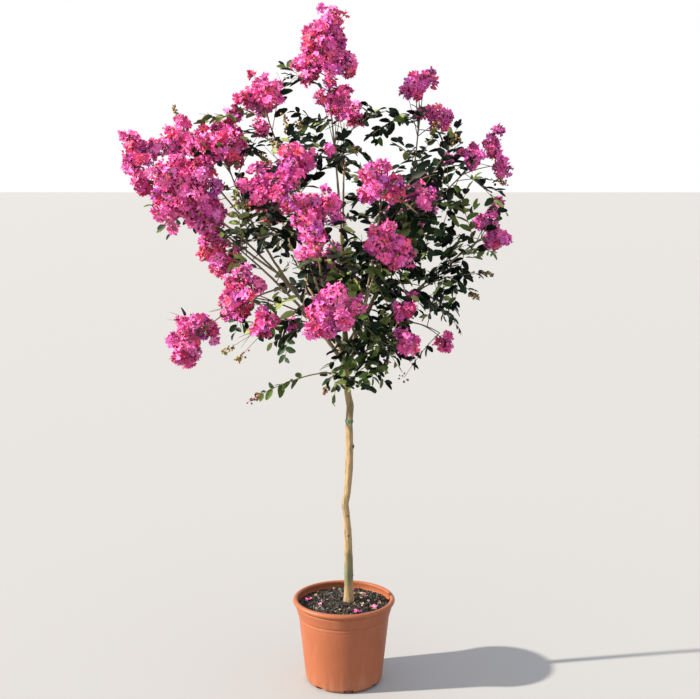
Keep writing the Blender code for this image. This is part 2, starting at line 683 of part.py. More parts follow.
def build_mass(number, mass, stem, limbs, helpers, parts):
    """One mass of foliage: stem, shoots, leaves and flower heads fused into one solid."""
    rng = np.random.default_rng(SEED + number)
    body = tube("foliage_" + mass.name, stem, LIMB_SIDES, parts, "bark")
    if mass.name in ON_TRUNK:
        cut(body, helpers["trunk"])
    pieces = fresh_collection("pieces_of_" + mass.name)
    placed = place_heads(mass, stem, limbs)
    heads = []
    for count, (centre, _) in enumerate(placed):
        mesh, reach = head_mesh(f"head_{mass.name}_{count + 1}", centre, mass, limbs)
        add_object(mesh.name, mesh, pieces, None)
        heads.append((centre, reach))
    grown = [(path, leaf_frames(path, mass, limbs, heads, rng)) for _, path in placed]
    grown += place_shoots(mass, stem, heads, limbs, rng)
    for count, (path, frames) in enumerate(grown):
        radii = np.linspace(SHOOT_RADIUS, SHOOT_TIP_RADIUS, len(path))
        tube(f"shoot_{mass.name}_{count + 1}", Limb(path, radii), 3, pieces, "bark", helpers["section"])
        for frame in frames:
            leaf = add_object("leaf", helpers["leaf"], pieces, None)
            leaf.matrix_world = frame
    join_pieces(body, pieces)


def main():
    """Clear the scene and build the plant."""
    for item in list(bpy.data.objects):
        bpy.data.objects.remove(item)
    parts = fresh_collection("crape_myrtle")
    cutters = fresh_collection("cutters")
    build_pot(parts, cutters)
    build_mix(parts)
    trunk = trunk_limb()
    tube("trunk", trunk, TRUNK_SIDES, parts, "bark")
    for name, height, width, tilt in TIES:
        build_tie(name, height, width, tilt, trunk, parts)

    boughs, stems = grow_limbs(trunk)
    helpers = {"leaf": leaf_mesh()}
    helpers["section"] = add_object("shoot_section", triangle_section(), cutters, None)
    hide_helper(helpers["section"])
    tree = dict(boughs, trunk=trunk)
    for name in ["trunk"] + sorted({mass.parent for mass in MASSES} & set(boughs)):
        wide = Limb(tree[name].points, tree[name].radii + GAP)
        sides = TRUNK_SIDES if name == "trunk" else LIMB_SIDES
        helpers[name] = tube(name + "_cutter", wide, sides, cutters, None)
        hide_helper(helpers[name])
    for mass in MASSES:
        if mass.name in boughs:
            bough = tube("bough_" + mass.name, boughs[mass.name], LIMB_SIDES, parts, "bark")
            if mass.parent != "tip":
                cut(bough, helpers[mass.parent])
    limbs = list(tree.values())
    for number, mass in enumerate(MASSES):
        build_mass(number, mass, stems[mass.name], limbs, helpers, parts)


main()
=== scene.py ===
"""Potted crape myrtle standard, dressed over its frame: bark, twigs, leaves, blossom, pot and potting mix."""

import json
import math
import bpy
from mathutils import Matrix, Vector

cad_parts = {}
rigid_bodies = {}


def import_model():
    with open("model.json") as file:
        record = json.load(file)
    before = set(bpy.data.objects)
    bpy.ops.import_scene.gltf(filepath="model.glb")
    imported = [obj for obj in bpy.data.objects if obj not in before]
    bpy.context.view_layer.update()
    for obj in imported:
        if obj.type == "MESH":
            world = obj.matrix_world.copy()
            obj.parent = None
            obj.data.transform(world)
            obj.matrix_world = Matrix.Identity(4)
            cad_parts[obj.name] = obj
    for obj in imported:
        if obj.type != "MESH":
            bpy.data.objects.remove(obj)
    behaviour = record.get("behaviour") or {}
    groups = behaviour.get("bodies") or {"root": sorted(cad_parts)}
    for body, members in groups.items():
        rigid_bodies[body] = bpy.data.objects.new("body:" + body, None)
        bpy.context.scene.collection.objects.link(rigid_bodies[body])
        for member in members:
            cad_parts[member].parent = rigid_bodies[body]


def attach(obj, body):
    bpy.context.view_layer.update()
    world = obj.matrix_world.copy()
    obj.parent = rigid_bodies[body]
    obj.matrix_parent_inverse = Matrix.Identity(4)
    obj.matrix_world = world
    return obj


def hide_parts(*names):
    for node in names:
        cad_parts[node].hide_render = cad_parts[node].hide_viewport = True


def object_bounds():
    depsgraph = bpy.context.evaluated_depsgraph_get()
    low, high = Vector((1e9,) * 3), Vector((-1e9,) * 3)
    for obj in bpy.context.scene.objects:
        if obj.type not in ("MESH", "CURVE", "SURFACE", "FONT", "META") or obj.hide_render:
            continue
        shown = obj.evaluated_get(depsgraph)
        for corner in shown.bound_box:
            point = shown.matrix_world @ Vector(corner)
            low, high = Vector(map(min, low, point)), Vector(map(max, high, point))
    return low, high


bl_info = {
    "name": "Potted crape myrtle",
    "version": (1, 0, 0),
    "blender": (4, 5, 0),
    "location": "3D View > Sidebar > Crape myrtle",
    "description": "Grows bark, twigs, leaves and blossom on the limbs of a potted crape myrtle",
    "category": "Add Mesh",
}

from collections import namedtuple

import bmesh
import bpy
import numpy as np
from mathutils import Vector

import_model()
CAD_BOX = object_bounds()

# The plant's plan, as in the solids

GAP = 0.0003
TINY = 1e-9
NUDGE = 1e-4
MILLI = 1000.0
GOLDEN_ANGLE = math.pi * (3.0 - math.sqrt(5.0))
GOLDEN_PART = 0.618
UP = np.array((0.0, 0.0, 1.0))
CROWN_MIDDLE = np.array((0.0, 0.0, 1.20))
SPACE_MARGIN = 0.05
ENTRY_SHARE = 1.6
LIMB_SAMPLES = 64
BOUGH_POINTS = 41
STEM_POINTS = 17
MAIN_RADIUS = 0.0058
FORK_PART = 0.78
BOUGH_TIP_RADIUS = 0.0024
STEM_TIP_RADIUS = 0.0015
HEAD_OFFSET = 0.58
HEAD_SPREAD = math.radians(125.0)
HEAD_LEAD = 0.06
HEAD_START = 0.45
HEAD_STEP = 0.5
HEAD_LIFT = 0.10
HEAD_PATH_POINTS = 9
HEAD_TWIST = 40.0

# Trunk, from its flat cut to its head: height, across, back, radius
TRUNK_STATIONS = np.array((
    (0.2423, 0.0140, 0.0000, 0.0172),
    (0.2560, 0.0140, 0.0000, 0.0146),
    (0.2800, 0.0140, 0.0000, 0.0134),
    (0.3250, 0.0140, 0.0010, 0.0128),
    (0.3800, 0.0138, 0.0020, 0.0121),
    (0.4400, 0.0118, 0.0020, 0.0113),
    (0.5050, 0.0078, 0.0010, 0.0099),
    (0.5400, 0.0038, 0.0000, 0.0098),
    (0.5720, 0.0105, -0.0010, 0.0101),
    (0.6300, 0.0150, -0.0010, 0.0110),
    (0.7060, 0.0168, 0.0000, 0.0114),
    (0.7800, 0.0150, 0.0010, 0.0102),
    (0.8300, 0.0190, 0.0020, 0.0106),
    (0.8650, 0.0125, 0.0010, 0.0095),
    (0.9100, 0.0075, 0.0000, 0.0092),
    (0.9550, 0.0050, 0.0000, 0.0106),
    (1.0100, 0.0040, 0.0000, 0.0102),
    (1.0350, 0.0040, 0.0000, 0.0080),
))

# Masses, with lengths in millimetres. As in the solids: name, the limb that carries the bough, the place
# on it (a height in metres on the trunk), the bough's bow, centre, reach, heads, their radius and turn.
# For the scene alone: leafy shoots, how cool its pink is, and 1 for shoots that lean out or -1 for back in.
# The tone is partly painted light and shade: warm pink for the sunlit masses on the left, cool magenta for
# the shaded ones on the right.
Mass = namedtuple("Mass", "name parent foot bow centre reach heads head_radius turn sprays tone lean")
MASS_ROWS = (
    ("top_plume", "tip", 0.0, 0.03, (-52, 30, 1815), (88, 92, 165), 6, 46, 4.9, 2, 0.2, -1),
    ("left_shoulder", "trunk", 1.004, -0.14, (-339, 30, 1562), (94, 100, 89), 5, 46, 2.8, 5, 0.2, -1),
    ("left_hang", "trunk", 0.95, 0.08, (-332, -100, 1329), (75, 90, 116), 2, 60, 4.9, 5, 0.3, -1),
    ("centre_high", "trunk", 0.972, -0.12, (-125, -200, 1494), (106, 100, 90), 3, 47, 2.6, 4, 0.3, -1),
    ("right_centre", "trunk", 0.968, -0.05, (101, -280, 1317), (83, 90, 83), 2, 49, 0.3, 7, 0.4, -1),
    ("high_right", "trunk", 1.0, -0.16, (214, 80, 1695), (108, 110, 125), 3, 37, 3.1, 4, 0.6, 1),
    ("far_right", "trunk", 0.955, 0.06, (395, 0, 1319), (79, 90, 96), 1, 37, 2.8, 4, 0.8, 1),
    ("back_right", "trunk", 0.978, -0.05, (210, 390, 1400), (110, 100, 110), 4, 58, 0.7, 9, 0.5, 1),
    ("back_left", "trunk", 0.966, -0.05, (-230, 390, 1430), (110, 100, 110), 4, 58, 2.8, 9, 0.4, 1),
    ("low_right", "trunk", 0.935, 0.1, (159, -120, 1073), (80, 85, 100), 3, 31, 6.3, 5, 0.6, 1),
    ("far_left", "left_shoulder", 0.5, -0.06, (-562, 20, 1532), (87, 85, 118), 5, 33, 4.6, 1, 0.3, -1),
    ("left_crest", "left_shoulder", 0.8, -0.06, (-451, 120, 1579), (70, 80, 92), 2, 44, 0.6, 2, 0.2, -1),
    ("left_front", "left_shoulder", 0.34, 0.06, (-434, -140, 1453), (102, 95, 86), 4, 57, 3.0, 1, 0.2, -1),
    ("low_left", "left_hang", 0.42, 0.1, (-246, -140, 1163), (77, 85, 82), 1, 60, 4.5, 3, 0.4, -1),
    ("far_low_left", "left_hang", 0.72, 0.14, (-417, -20, 1035), (80, 85, 91), 3, 51, 1.4, 2, 0.3, -1),
    ("high_left", "top_plume", 0.42, -0.1, (-227, 20, 1700), (84, 90, 78), 4, 36, 5.5, 3, 0.2, -1),
    ("back_high", "top_plume", 0.3, 0.0, (0, 250, 1640), (85, 90, 85), 2, 38, 3.0, 7, 0.5, 1),
    ("centre", "centre_high", 0.4, 0.08, (-79, -330, 1380), (102, 90, 107), 3, 49, 5.6, 6, 0.5, -1),
    ("low_front_left", "centre_high", 0.2, 0.14, (-188, -230, 1111), (80, 80, 66), 1, 38, 4.3, 6, 0.4, -1),
    ("front_low", "right_centre", 0.34, 0.14, (-15, -310, 1157), (92, 90, 92), 2, 60, 4.6, 4, 0.3, -1),
    ("right_front", "right_centre", 0.62, -0.06, (102, -240, 1460), (80, 85, 75), 1, 61, 0.5, 6, 0.6, -1),
    ("right_mid", "high_right", 0.4, 0.04, (195, -100, 1416), (80, 85, 78), 1, 39, 0.3, 7, 0.8, 1),
    ("right", "high_right", 0.55, 0.05, (384, 60, 1534), (113, 100, 85), 4, 29, 5.0, 5, 0.6, 1),
    ("right_low", "far_right", 0.55, 0.1, (290, -80, 1215), (112, 95, 82), 0, 0, 1.7, 8, 0.8, 1),
    ("far_low_right", "far_right", 0.36, 0.16, (280, 80, 1033), (74, 85, 80), 1, 32, 2.5, 3, 0.7, 1),
    ("back_low", "back_left", 0.36, 0.12, (-40, 350, 1160), (110, 100, 90), 3, 60, 2.3, 9, 0.5, 1),
    ("heart", "trunk", 1.012, -0.24, (100, -70, 1250), (100, 100, 140), 0, 0, 2.3, 14, 0.5, 1),
    ("skirt", "trunk", 0.905, 0.1, (-30, -75, 935), (90, 80, 48), 0, 0, 1.0, 1, 0.5, 1),
    ("trailing", "trunk", 0.925, 0.16, (-150, -30, 908), (130, 80, 50), 0, 0, 2.9, 1, 0.5, 1),
)
ON_TRUNK = ("heart", "skirt", "trailing")


def mass_from(row):
    """A mass from its row in the table, with its millimetres made metres."""
    mass = Mass(*row)
    lengths = {key: np.array(getattr(mass, key)) / MILLI for key in ("centre", "reach", "head_radius")}
    return mass._replace(**lengths)


MASSES = tuple(mass_from(row) for row in MASS_ROWS)
CENTRES = np.array([mass.centre for mass in MASSES])
REACHES = np.array([mass.reach for mass in MASSES])

Limb = namedtuple("Limb", "points radii")
Head = namedtuple("Head", "mass centre radius path turn")


def unit(vectors):
    """Vectors cut to a length of 1."""
    return vectors / np.maximum(np.linalg.norm(vectors, axis=-1, keepdims=True), TINY)


def path_length(points):
    """The length of a path through points."""
    return np.linalg.norm(np.diff(points, axis=0), axis=1).sum()


def shares(points):
    """How far out points lie in every mass's space: 0 at its centre, 1 at its reach."""
    return np.linalg.norm((points[..., None, :] - CENTRES) / REACHES, axis=-1)


def in_crown(points, limit):
    """Which points lie within a limit of the nearest mass, counted in its reach."""
    return shares(points).min(axis=-1) < limit


def in_space(points, number):
    """Which points lie in one mass's space and by a margin nearer to it than to any other."""
    share = shares(points)
    own = share[..., number]
    others = np.delete(share, number, axis=-1).min(axis=-1)
    return (own < ENTRY_SHARE) & (own + SPACE_MARGIN < others)


def bend(foot, control, end, count, start=0.0, stop=1.0):
    """Points along a quadratic curve, between two values of its parameter."""
    t = np.linspace(start, stop, count)[:, None]
    return (1 - t) ** 2 * foot + 2 * t * (1 - t) * control + t ** 2 * end


def along(points, parts):
    """Points at parts of a polyline's number of segments."""
    place = np.clip(np.atleast_1d(parts), 0.0, 1.0) * (len(points) - 1)
    index = np.minimum(place.astype(int), len(points) - 2)
    return points[index] + (place - index)[:, None] * (points[index + 1] - points[index])


def spiral(count, axis, spread, turn, lead=0.5):
    """Unit directions that spiral out from an axis to an angle of spread, a golden angle apart."""
    axis = np.array(axis) / np.linalg.norm(axis)
    side = np.cross(axis, UP)
    side /= max(np.linalg.norm(side), TINY)
    other = np.cross(axis, side)
    step = np.arange(count)
    tilt = spread * np.sqrt((step + lead) / max(count, 1))
    angle = turn + step * GOLDEN_ANGLE
    ring = np.cos(angle)[:, None] * side + np.sin(angle)[:, None] * other
    return np.cos(tilt)[:, None] * axis + np.sin(tilt)[:, None] * ring


def trunk_place(height):
    """The trunk's centre and radius at a height."""
    across, back, radius = (np.interp(height, TRUNK_STATIONS[:, 0], TRUNK_STATIONS[:, k]) for k in (1, 2, 3))
    return np.stack((across, back, height + 0.0 * across), axis=-1), radius


def tapered(points, thick, thin):
    """A limb whose radius falls evenly from its foot to its tip."""
    return Limb(points, np.linspace(thick, thin, len(points)))


def grow_limbs():
    """Every bough's curve and radii, and every mass's stem, worked out from the masses' table."""
    boughs, stems = {}, {}
    for number, mass in enumerate(MASSES):
        if mass.parent == "trunk":
            foot = trunk_place(mass.foot)[0]
        elif mass.parent == "tip":
            foot = TRUNK_STATIONS[-1, [1, 2, 0]] + GAP * UP
        else:
            foot = along(boughs[mass.parent].points, mass.foot)[0]
        span = mass.centre - foot
        upward = unit(np.cross(np.cross(span, UP), span))
        if mass.parent == "tip":
            upward = -unit(span * (1.0, 1.0, 0.0))
        control = foot + span / 2 + upward * mass.bow * np.linalg.norm(span)
        entry, thin = 0.0, BOUGH_TIP_RADIUS
        if mass.name not in ON_TRUNK:
            line = bend(foot, control, mass.centre, LIMB_SAMPLES)
            entry = (np.flatnonzero(~in_space(line, number)).max() + 1) / (LIMB_SAMPLES - 1)
            thick = MAIN_RADIUS
            if mass.parent in boughs:
                parent = boughs[mass.parent]
                thick = FORK_PART * np.interp(mass.foot, np.linspace(0, 1, len(parent.radii)), parent.radii)
            thin = min(BOUGH_TIP_RADIUS, thick)
            line = bend(foot, control, mass.centre, BOUGH_POINTS, stop=entry)
            boughs[mass.name] = tapered(line, thick, thin)
        line = bend(foot, control, mass.centre, STEM_POINTS, start=entry)
        stems[mass.name] = tapered(line, thin, STEM_TIP_RADIUS)
    return boughs, stems


def shoot_path(start, end, lift, count):
    """A shoot's points, lifted in the middle by a part of its length."""
    rise = lift * np.linalg.norm(end - start) * UP
    return bend(start, (start + end) / 2 + rise, end, count)


def place_heads(stems):
    """Every flower head: its mass, centre and radius, the shoot that carries it, and its turn."""
    heads = []
    for mass in MASSES:
        ways = spiral(mass.heads, mass.centre - CROWN_MIDDLE, HEAD_SPREAD, mass.turn, HEAD_LEAD)
        for count, way in enumerate(ways):
            centre = mass.centre + way * HEAD_OFFSET * mass.reach
            start = along(stems[mass.name].points, HEAD_START + HEAD_STEP * count / mass.heads)[0]
            path = shoot_path(start, centre, HEAD_LIFT, HEAD_PATH_POINTS)
            heads.append(Head(mass, centre, mass.head_radius, path, mass.turn + HEAD_TWIST * centre[0]))
    return heads


# Random draws. Each thing has draws of its own, so that a change to one leaves the others as they are

SEED = 11
SPRAY_DRAWS = 100
WHIP_DRAWS = 500
SPIKE_DRAWS = 900
BUNCH_DRAWS = 1000
FLOWER_DRAWS = 7000
MIX_DRAWS = 7


def draws(group=1, number=0):
    """The random draws of one thing in a group."""
    return np.random.default_rng(SEED * group + number)


# Meshes from arrays

MAX_TRIANGLES = 190000
END_SHARE = 0.02
END_SHIFT = 1e-6
ACROSS_PATHS = (0.31, 0.87, 0.38)
ACROSS_FLOWERS = (0.3, 0.5, 0.8)


def add_piece(name, points, quads, materials, tints=None, smooth=True, replaces=()):
    """A mesh piece from arrays of points and of four-cornered faces, riding on the root body."""
    points = np.asarray(points, float).reshape(-1, 3)
    quads = np.asarray(quads, np.int32).reshape(-1, 4)
    mesh = bpy.data.meshes.new(name)
    mesh.vertices.add(len(points))
    mesh.vertices.foreach_set("co", points.ravel())
    mesh.loops.add(quads.size)
    mesh.loops.foreach_set("vertex_index", quads.ravel())
    mesh.polygons.add(len(quads))
    mesh.polygons.foreach_set("loop_start", np.arange(0, quads.size, 4, dtype=np.int32))
    mesh.polygons.foreach_set("use_smooth", np.full(len(quads), smooth))
    for material in materials:
        mesh.materials.append(material)
    if tints is not None:
        mesh.polygons.foreach_set("material_index", np.asarray(tints, np.int32))
    mesh.update()
    mesh.validate()
    item = bpy.data.objects.new(name, mesh)
    bpy.context.scene.collection.objects.link(item)
    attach(item, "root")
    if replaces:
        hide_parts(*replaces)
    return item


def weld(item, distance=1e-6):
    """Merge a piece's doubled points, which closes its poles, and point its faces outwards."""
    shape = bmesh.new()
    shape.from_mesh(item.data)
    bmesh.ops.remove_doubles(shape, verts=shape.verts, dist=distance)
    bmesh.ops.dissolve_degenerate(shape, edges=shape.edges, dist=distance)
    bmesh.ops.recalc_face_normals(shape, faces=shape.faces)
    shape.to_mesh(item.data)
    shape.free()


def grid_quads(rows, columns, closed=False):
    """Faces of a grid of points, row by row; a closed grid joins its last column to its first."""
    row = np.arange(rows - 1)[:, None] * columns
    column = np.arange(columns if closed else columns - 1)[None, :]
    after = (column + 1) % columns
    corners = (row + column, row + after, row + columns + after, row + columns + column)
    return np.stack(corners, axis=-1).reshape(-1, 4)


def copied_faces(points, patch, tints):
    """The faces of copies of one patch, one after another in the points, and a tint for each face.

    The tints come in with one for each copy.
    """
    points_each = points.size // 3 // max(1, len(tints))
    quads = patch[None] + (np.arange(len(tints)) * points_each)[:, None, None]
    return quads.reshape(-1, 4), np.repeat(tints, len(patch))


def add_copies(name, things, patch, materials, smooth=True):
    """A mesh piece of many small things of one patch: the points of all of them, and a tint for each."""
    points, tints = things
    quads, tints = copied_faces(points, patch, tints)
    add_piece(name, points, quads, materials, tints, smooth)


def ring_round(side, other, sides):
    """Directions evenly round each place: cos a x side + sin a x other."""
    angle = np.arange(sides) * math.tau / sides
    return np.cos(angle)[None, :, None] * side[:, None] + np.sin(angle)[None, :, None] * other[:, None]


def square_to(axes, guide=ACROSS_FLOWERS):
    """Two directions square to each axis and to each other, the first square to a guide as well."""
    side = unit(np.cross(axes, guide))
    return side, np.cross(axes, side)


def tube_grid(points, radii, sides):
    """Rings round a path: centre + radius x (cos a x side + sin a x other), a row for each point.

    The two directions square to the path are carried along it without twist.
    """
    heading = unit(np.gradient(points, axis=0))
    side = np.zeros_like(points)
    side[0] = unit(np.cross(heading[0], ACROSS_PATHS))
    for index in range(1, len(points)):
        side[index] = unit(side[index - 1] - heading[index] * np.dot(side[index - 1], heading[index]))
    radii = radii[:, None, None] if radii.ndim == 1 else radii[..., None]
    return points[:, None] + radii * ring_round(side, np.cross(heading, side), sides)


def closed_tube(points, radii, sides):
    """A tube with its ends drawn to a point: the grid of its rings and its faces."""
    points = np.concatenate((points[:1], points, points[-1:]))
    radii = np.concatenate((radii[:1] * END_SHARE, radii, radii[-1:] * END_SHARE))
    grid = tube_grid(points + END_SHIFT * np.arange(len(points))[:, None], radii, sides)
    return grid.reshape(-1, 3), grid_quads(len(points), sides, closed=True)


def turned_copies(places, side, other, profile, sides, axis, size=1.0):
    """Small turned forms, one at each place: rings of (height, radius) times its size, round its axis."""
    height, radius = np.array(profile).T
    size = np.broadcast_to(size, len(places))
    centre = places[:, None] + (height[None] * size[:, None])[..., None] * axis[:, None]
    rings = radius[None, :, None, None] * ring_round(side, other, sides)[:, None]
    return centre[:, :, None] + size[:, None, None, None] * rings


def turned_grid(section, sides):
    """A section of (radius, height) turned round the Z axis."""
    angle = np.arange(sides) * math.tau / sides
    radius, height = section[:, :1], section[:, 1:]
    return np.stack((radius * np.cos(angle), radius * np.sin(angle), height + 0.0 * angle), axis=-1)


def rotate(vectors, axis, angle):
    """Vectors turned about unit axes by angles, by Rodrigues' formula."""
    cosine = np.cos(angle)[..., None]
    sine = np.sin(angle)[..., None]
    dot = (vectors * axis).sum(-1, keepdims=True)
    return vectors * cosine + np.cross(axis, vectors) * sine + axis * dot * (1 - cosine)


def waves(a, b, rows):
    """A sum of sines over two parameters. Each row has a height, the sine's steps along each, and a phase."""
    return sum(height * np.sin(step_a * a + step_b * b + phase) for height, step_a, step_b, phase in rows)


class Heap:
    """Patches gathered for one kind of piece, which come out as a few pieces under the triangle limit."""

    def __init__(self):
        self.parts = []

    def add(self, points, quads, tints, mass):
        """Keep one patch, with a tint for each face and the mass that it belongs to."""
        tints = np.broadcast_to(np.asarray(tints, np.int32), (len(quads),))
        self.parts.append((np.asarray(points).reshape(-1, 3), quads, tints, mass.name))

    def add_copies(self, points, patch, tints, mass):
        """Keep copies of one patch, with a tint for each copy."""
        self.add(points, *copied_faces(points, patch, tints), mass)

    def add_tube(self, line, ends, sides, mass):
        """Keep a tube along a line, with the radii at its two ends."""
        self.add(*closed_tube(line, np.linspace(*ends, len(line)), sides), 0, mass)

    def pieces(self, name, materials, slot, replace=False):
        """Join the patches, mass by mass, into pieces."""
        batches = [[]]
        size = 0
        for part in self.parts:
            count = 2 * len(part[1])
            if size + count > MAX_TRIANGLES:
                batches.append([])
                size = 0
            batches[-1].append(part)
            size += count
        made = []
        for index, batch in enumerate(batches):
            starts = np.cumsum([0] + [len(part[0]) for part in batch[:-1]])
            points = np.concatenate([part[0] for part in batch])
            quads = np.concatenate([part[1] + start for part, start in zip(batch, starts)])
            tints = np.concatenate([part[2] for part in batch])
            nodes = ["foliage_" + owner for owner in sorted({part[3] for part in batch})] if replace else []
            piece = f"{name}_{index + 1}"
            made.append(add_piece(piece, points, quads, materials, tints, replaces=nodes))
        return made


# Shader values and finishes


class Value:
    """A shader value. Arithmetic on it adds Math nodes, also where a plain number comes first."""

    def __init__(self, finish, socket):
        self.finish = finish
        self.socket = socket

    def math(self, operation, first, second, clamp=False):
        settings = {"operation": operation, "use_clamp": clamp}
        return self.finish.make("ShaderNodeMath", settings, {0: first, 1: second})

    def __add__(self, other):
        return self.math("ADD", self, other)

    def __radd__(self, other):
        return self.math("ADD", other, self)

    def __sub__(self, other):
        return self.math("SUBTRACT", self, other)

    def __rsub__(self, other):
        return self.math("SUBTRACT", other, self)

    def __mul__(self, other):
        return self.math("MULTIPLY", self, other)

    def __rmul__(self, other):
        return self.math("MULTIPLY", other, self)

    def above(self, edge, width):
        """0 below an edge, 1 above it, with a soft step of a width between."""
        return self.math("MULTIPLY", self - (edge - width / 2), 1.0 / width, clamp=True)


class Finish:
    """One material: its shader, and every other node made from its type, settings and inputs."""

    def __init__(self, name, colour, roughness, **constants):
        self.material = bpy.data.materials.new(name)
        self.material.use_nodes = True
        self.tree = self.material.node_tree
        self.shader = self.tree.nodes["Principled BSDF"]
        self.shader.inputs["Base Color"].default_value = (*colour, 1.0)
        self.shader.inputs["Roughness"].default_value = roughness
        self.material.diffuse_color = (*colour, 1.0)
        for key, value in constants.items():
            self.shader.inputs[key.replace("_", " ").title().replace("Ior", "IOR")].default_value = value

    def make(self, kind, settings, inputs, output=0):
        """A node of any type: settings first, then the values or links of its sockets."""
        node = self.tree.nodes.new(kind)
        for key, value in settings.items():
            setattr(node, key, value)
        for key, value in inputs.items():
            self.feed(node.inputs[key], value)
        return Value(self, node.outputs[output])

    def feed(self, socket, value):
        """Link a value to a socket, or set the socket to a number."""
        if isinstance(value, Value):
            self.tree.links.new(value.socket, socket)
        else:
            socket.default_value = value

    def place(self, scale=(1.0, 1.0, 1.0)):
        """Object coordinates, stretched by a scale."""
        spot = self.make("ShaderNodeTexCoord", {}, {}, "Object")
        return self.make("ShaderNodeMapping", {"vector_type": "POINT"}, {"Vector": spot, "Scale": scale})

    def noise(self, vector, scale, detail, roughness=0.55):
        """Soft noise from 0 to 1."""
        inputs = {"Vector": vector, "Scale": scale, "Detail": detail, "Roughness": roughness}
        return self.make("ShaderNodeTexNoise", {}, inputs, "Fac")

    def distance(self, centre):
        """Distance of the surface from a point."""
        spot = self.make("ShaderNodeTexCoord", {}, {}, "Object")
        return self.make("ShaderNodeVectorMath", {"operation": "DISTANCE"}, {0: spot, 1: centre}, "Value")

    def mix(self, factor, first, second):
        """A colour between two colours."""
        first, second = ((*c, 1.0) if isinstance(c, tuple) else c for c in (first, second))
        return self.make("ShaderNodeMix", {"data_type": "RGBA"}, {0: factor, 6: first, 7: second}, 2)

    def bump(self, height, strength, distance):
        """Relief from a height, fed to the shader's normal."""
        inputs = {"Height": height, "Strength": strength, "Distance": distance}
        self.feed(self.shader.inputs["Normal"], self.make("ShaderNodeBump", {}, inputs))

    def colour(self, value):
        """Feed the shader's colour."""
        self.feed(self.shader.inputs["Base Color"], value)

    def roughness(self, value):
        """Feed the shader's roughness."""
        self.feed(self.shader.inputs["Roughness"], value)


SCUFF_TINT = (0.60, 0.34, 0.20)
DUST_TINT = (0.50, 0.34, 0.24)
FLECK_TINT = (0.045, 0.035, 0.028)
PEAT_TINT = (0.035, 0.028, 0.022)
DARK_CLUMP = (0.008, 0.006, 0.005)
PALE_CLUMP = (0.024, 0.017, 0.013)
GRAIN_TINT = (0.045, 0.038, 0.034)

# Surfaces of small things: roughness, scale of the crinkles and their depth
LEAF_SHEET = (0.45, 260.0, 0.0004)
TWIG_SHEET = (0.65, 300.0, 0.0003)
PETAL_SHEET = (0.65, 420.0, 0.0006)
STAMEN_SHEET = (0.6, 500.0, 0.0003)
BUD_SHEET = (0.5, 300.0, 0.0003)
CHIP_SHEET = (0.85, 500.0, 0.0006)
DRY_SHEET = (0.7, 300.0, 0.0006)
TIE_SHEET = (0.45, 200.0, 0.0005)


def pot_finish(name, colour):
    """Matt moulded plastic: faint mottling, scuffs and dust near the foot, a fine grain."""
    finish = Finish(name, colour, 0.45, specular_ior_level=0.3)
    spot = finish.place()
    cloud = finish.noise(spot, scale=9.0, detail=4.0)
    streak = finish.noise(finish.place((60.0, 60.0, 7.0)), scale=1.0, detail=3.0)
    height = finish.make("ShaderNodeSeparateXYZ", {}, {0: spot}, "Z")
    dust = (1.0 - height.above(0.03, 0.06)) * streak.above(0.52, 0.2) * 0.18
    darker = tuple(0.90 * c for c in colour)
    lighter = tuple(min(1.0, 1.10 * c + 0.004) for c in colour)
    base = finish.mix(cloud.above(0.5, 0.5), darker, lighter)
    base = finish.mix(streak.above(0.62, 0.1) * 0.05, base, SCUFF_TINT)
    finish.colour(finish.mix(dust, base, DUST_TINT))
    finish.roughness(0.40 + 0.16 * cloud + 0.12 * dust)
    grain = finish.noise(spot, scale=700.0, detail=2.0)
    finish.bump(grain + 3.0 * streak, strength=0.12, distance=0.0006)
    return finish.material


def bark_finish(name, tan, grey, marks=()):
    """Smooth young bark: long patches of tan and grey, fine streaks up the stem, dark flecks, and marks.

    Each mark is a soft round patch: its centre, its radius and its colour.
    """
    finish = Finish(name, tan, 0.75)
    patch = finish.noise(finish.place((1.0, 1.0, 0.28)), scale=55.0, detail=4.0, roughness=0.6)
    streak = finish.noise(finish.place((1.0, 1.0, 0.06)), scale=420.0, detail=3.0)
    fleck = finish.noise(finish.place((1.0, 1.0, 0.6)), scale=240.0, detail=2.0)
    dark = tuple(0.45 * c for c in tan)
    base = finish.mix(patch.above(0.52, 0.14), tan, grey)
    base = finish.mix(streak.above(0.56, 0.2) * 0.55, base, dark)
    base = finish.mix(fleck.above(0.69, 0.05) * 0.7, base, FLECK_TINT)
    for centre, size, mark in marks:
        base = finish.mix(1.0 - finish.distance(centre).above(size, 0.5 * size), base, mark)
    finish.colour(base)
    finish.roughness(0.62 + 0.25 * patch)
    finish.bump(streak + 0.6 * patch - 0.8 * fleck.above(0.69, 0.05), strength=0.55, distance=0.0012)
    return finish.material


def mix_finish(name):
    """Dark crumbly mix: near-black peat with brown clumps and grey grains."""
    finish = Finish(name, PEAT_TINT, 0.95)
    spot = finish.place()
    grain = finish.noise(spot, scale=260.0, detail=4.0, roughness=0.7)
    clump = finish.noise(spot, scale=60.0, detail=3.0)
    base = finish.mix(clump.above(0.5, 0.3), DARK_CLUMP, PALE_CLUMP)
    finish.colour(finish.mix(grain.above(0.66, 0.08), base, GRAIN_TINT))
    finish.roughness(0.80 + 0.18 * grain)
    finish.bump(grain + clump, strength=0.8, distance=0.003)
    return finish.material


def sheet_finishes(name, tints, sheet, **constants):
    """A finish for each tint of a leaf, petal or other small thing.

    Each has one plain colour, crinkles of a grain and a depth, and a slightly uneven gloss.
    """
    roughness, grain, depth = sheet
    made = []
    for index, tint in enumerate(tints):
        finish = Finish(f"{name}_{index + 1}", tint, roughness, **constants)
        crinkle = finish.noise(finish.place(), scale=grain, detail=2.0)
        finish.roughness(roughness - 0.08 + 0.16 * crinkle)
        finish.bump(crinkle, strength=0.5, distance=depth)
        made.append(finish.material)
    return made


# Bark of the trunk and the boughs

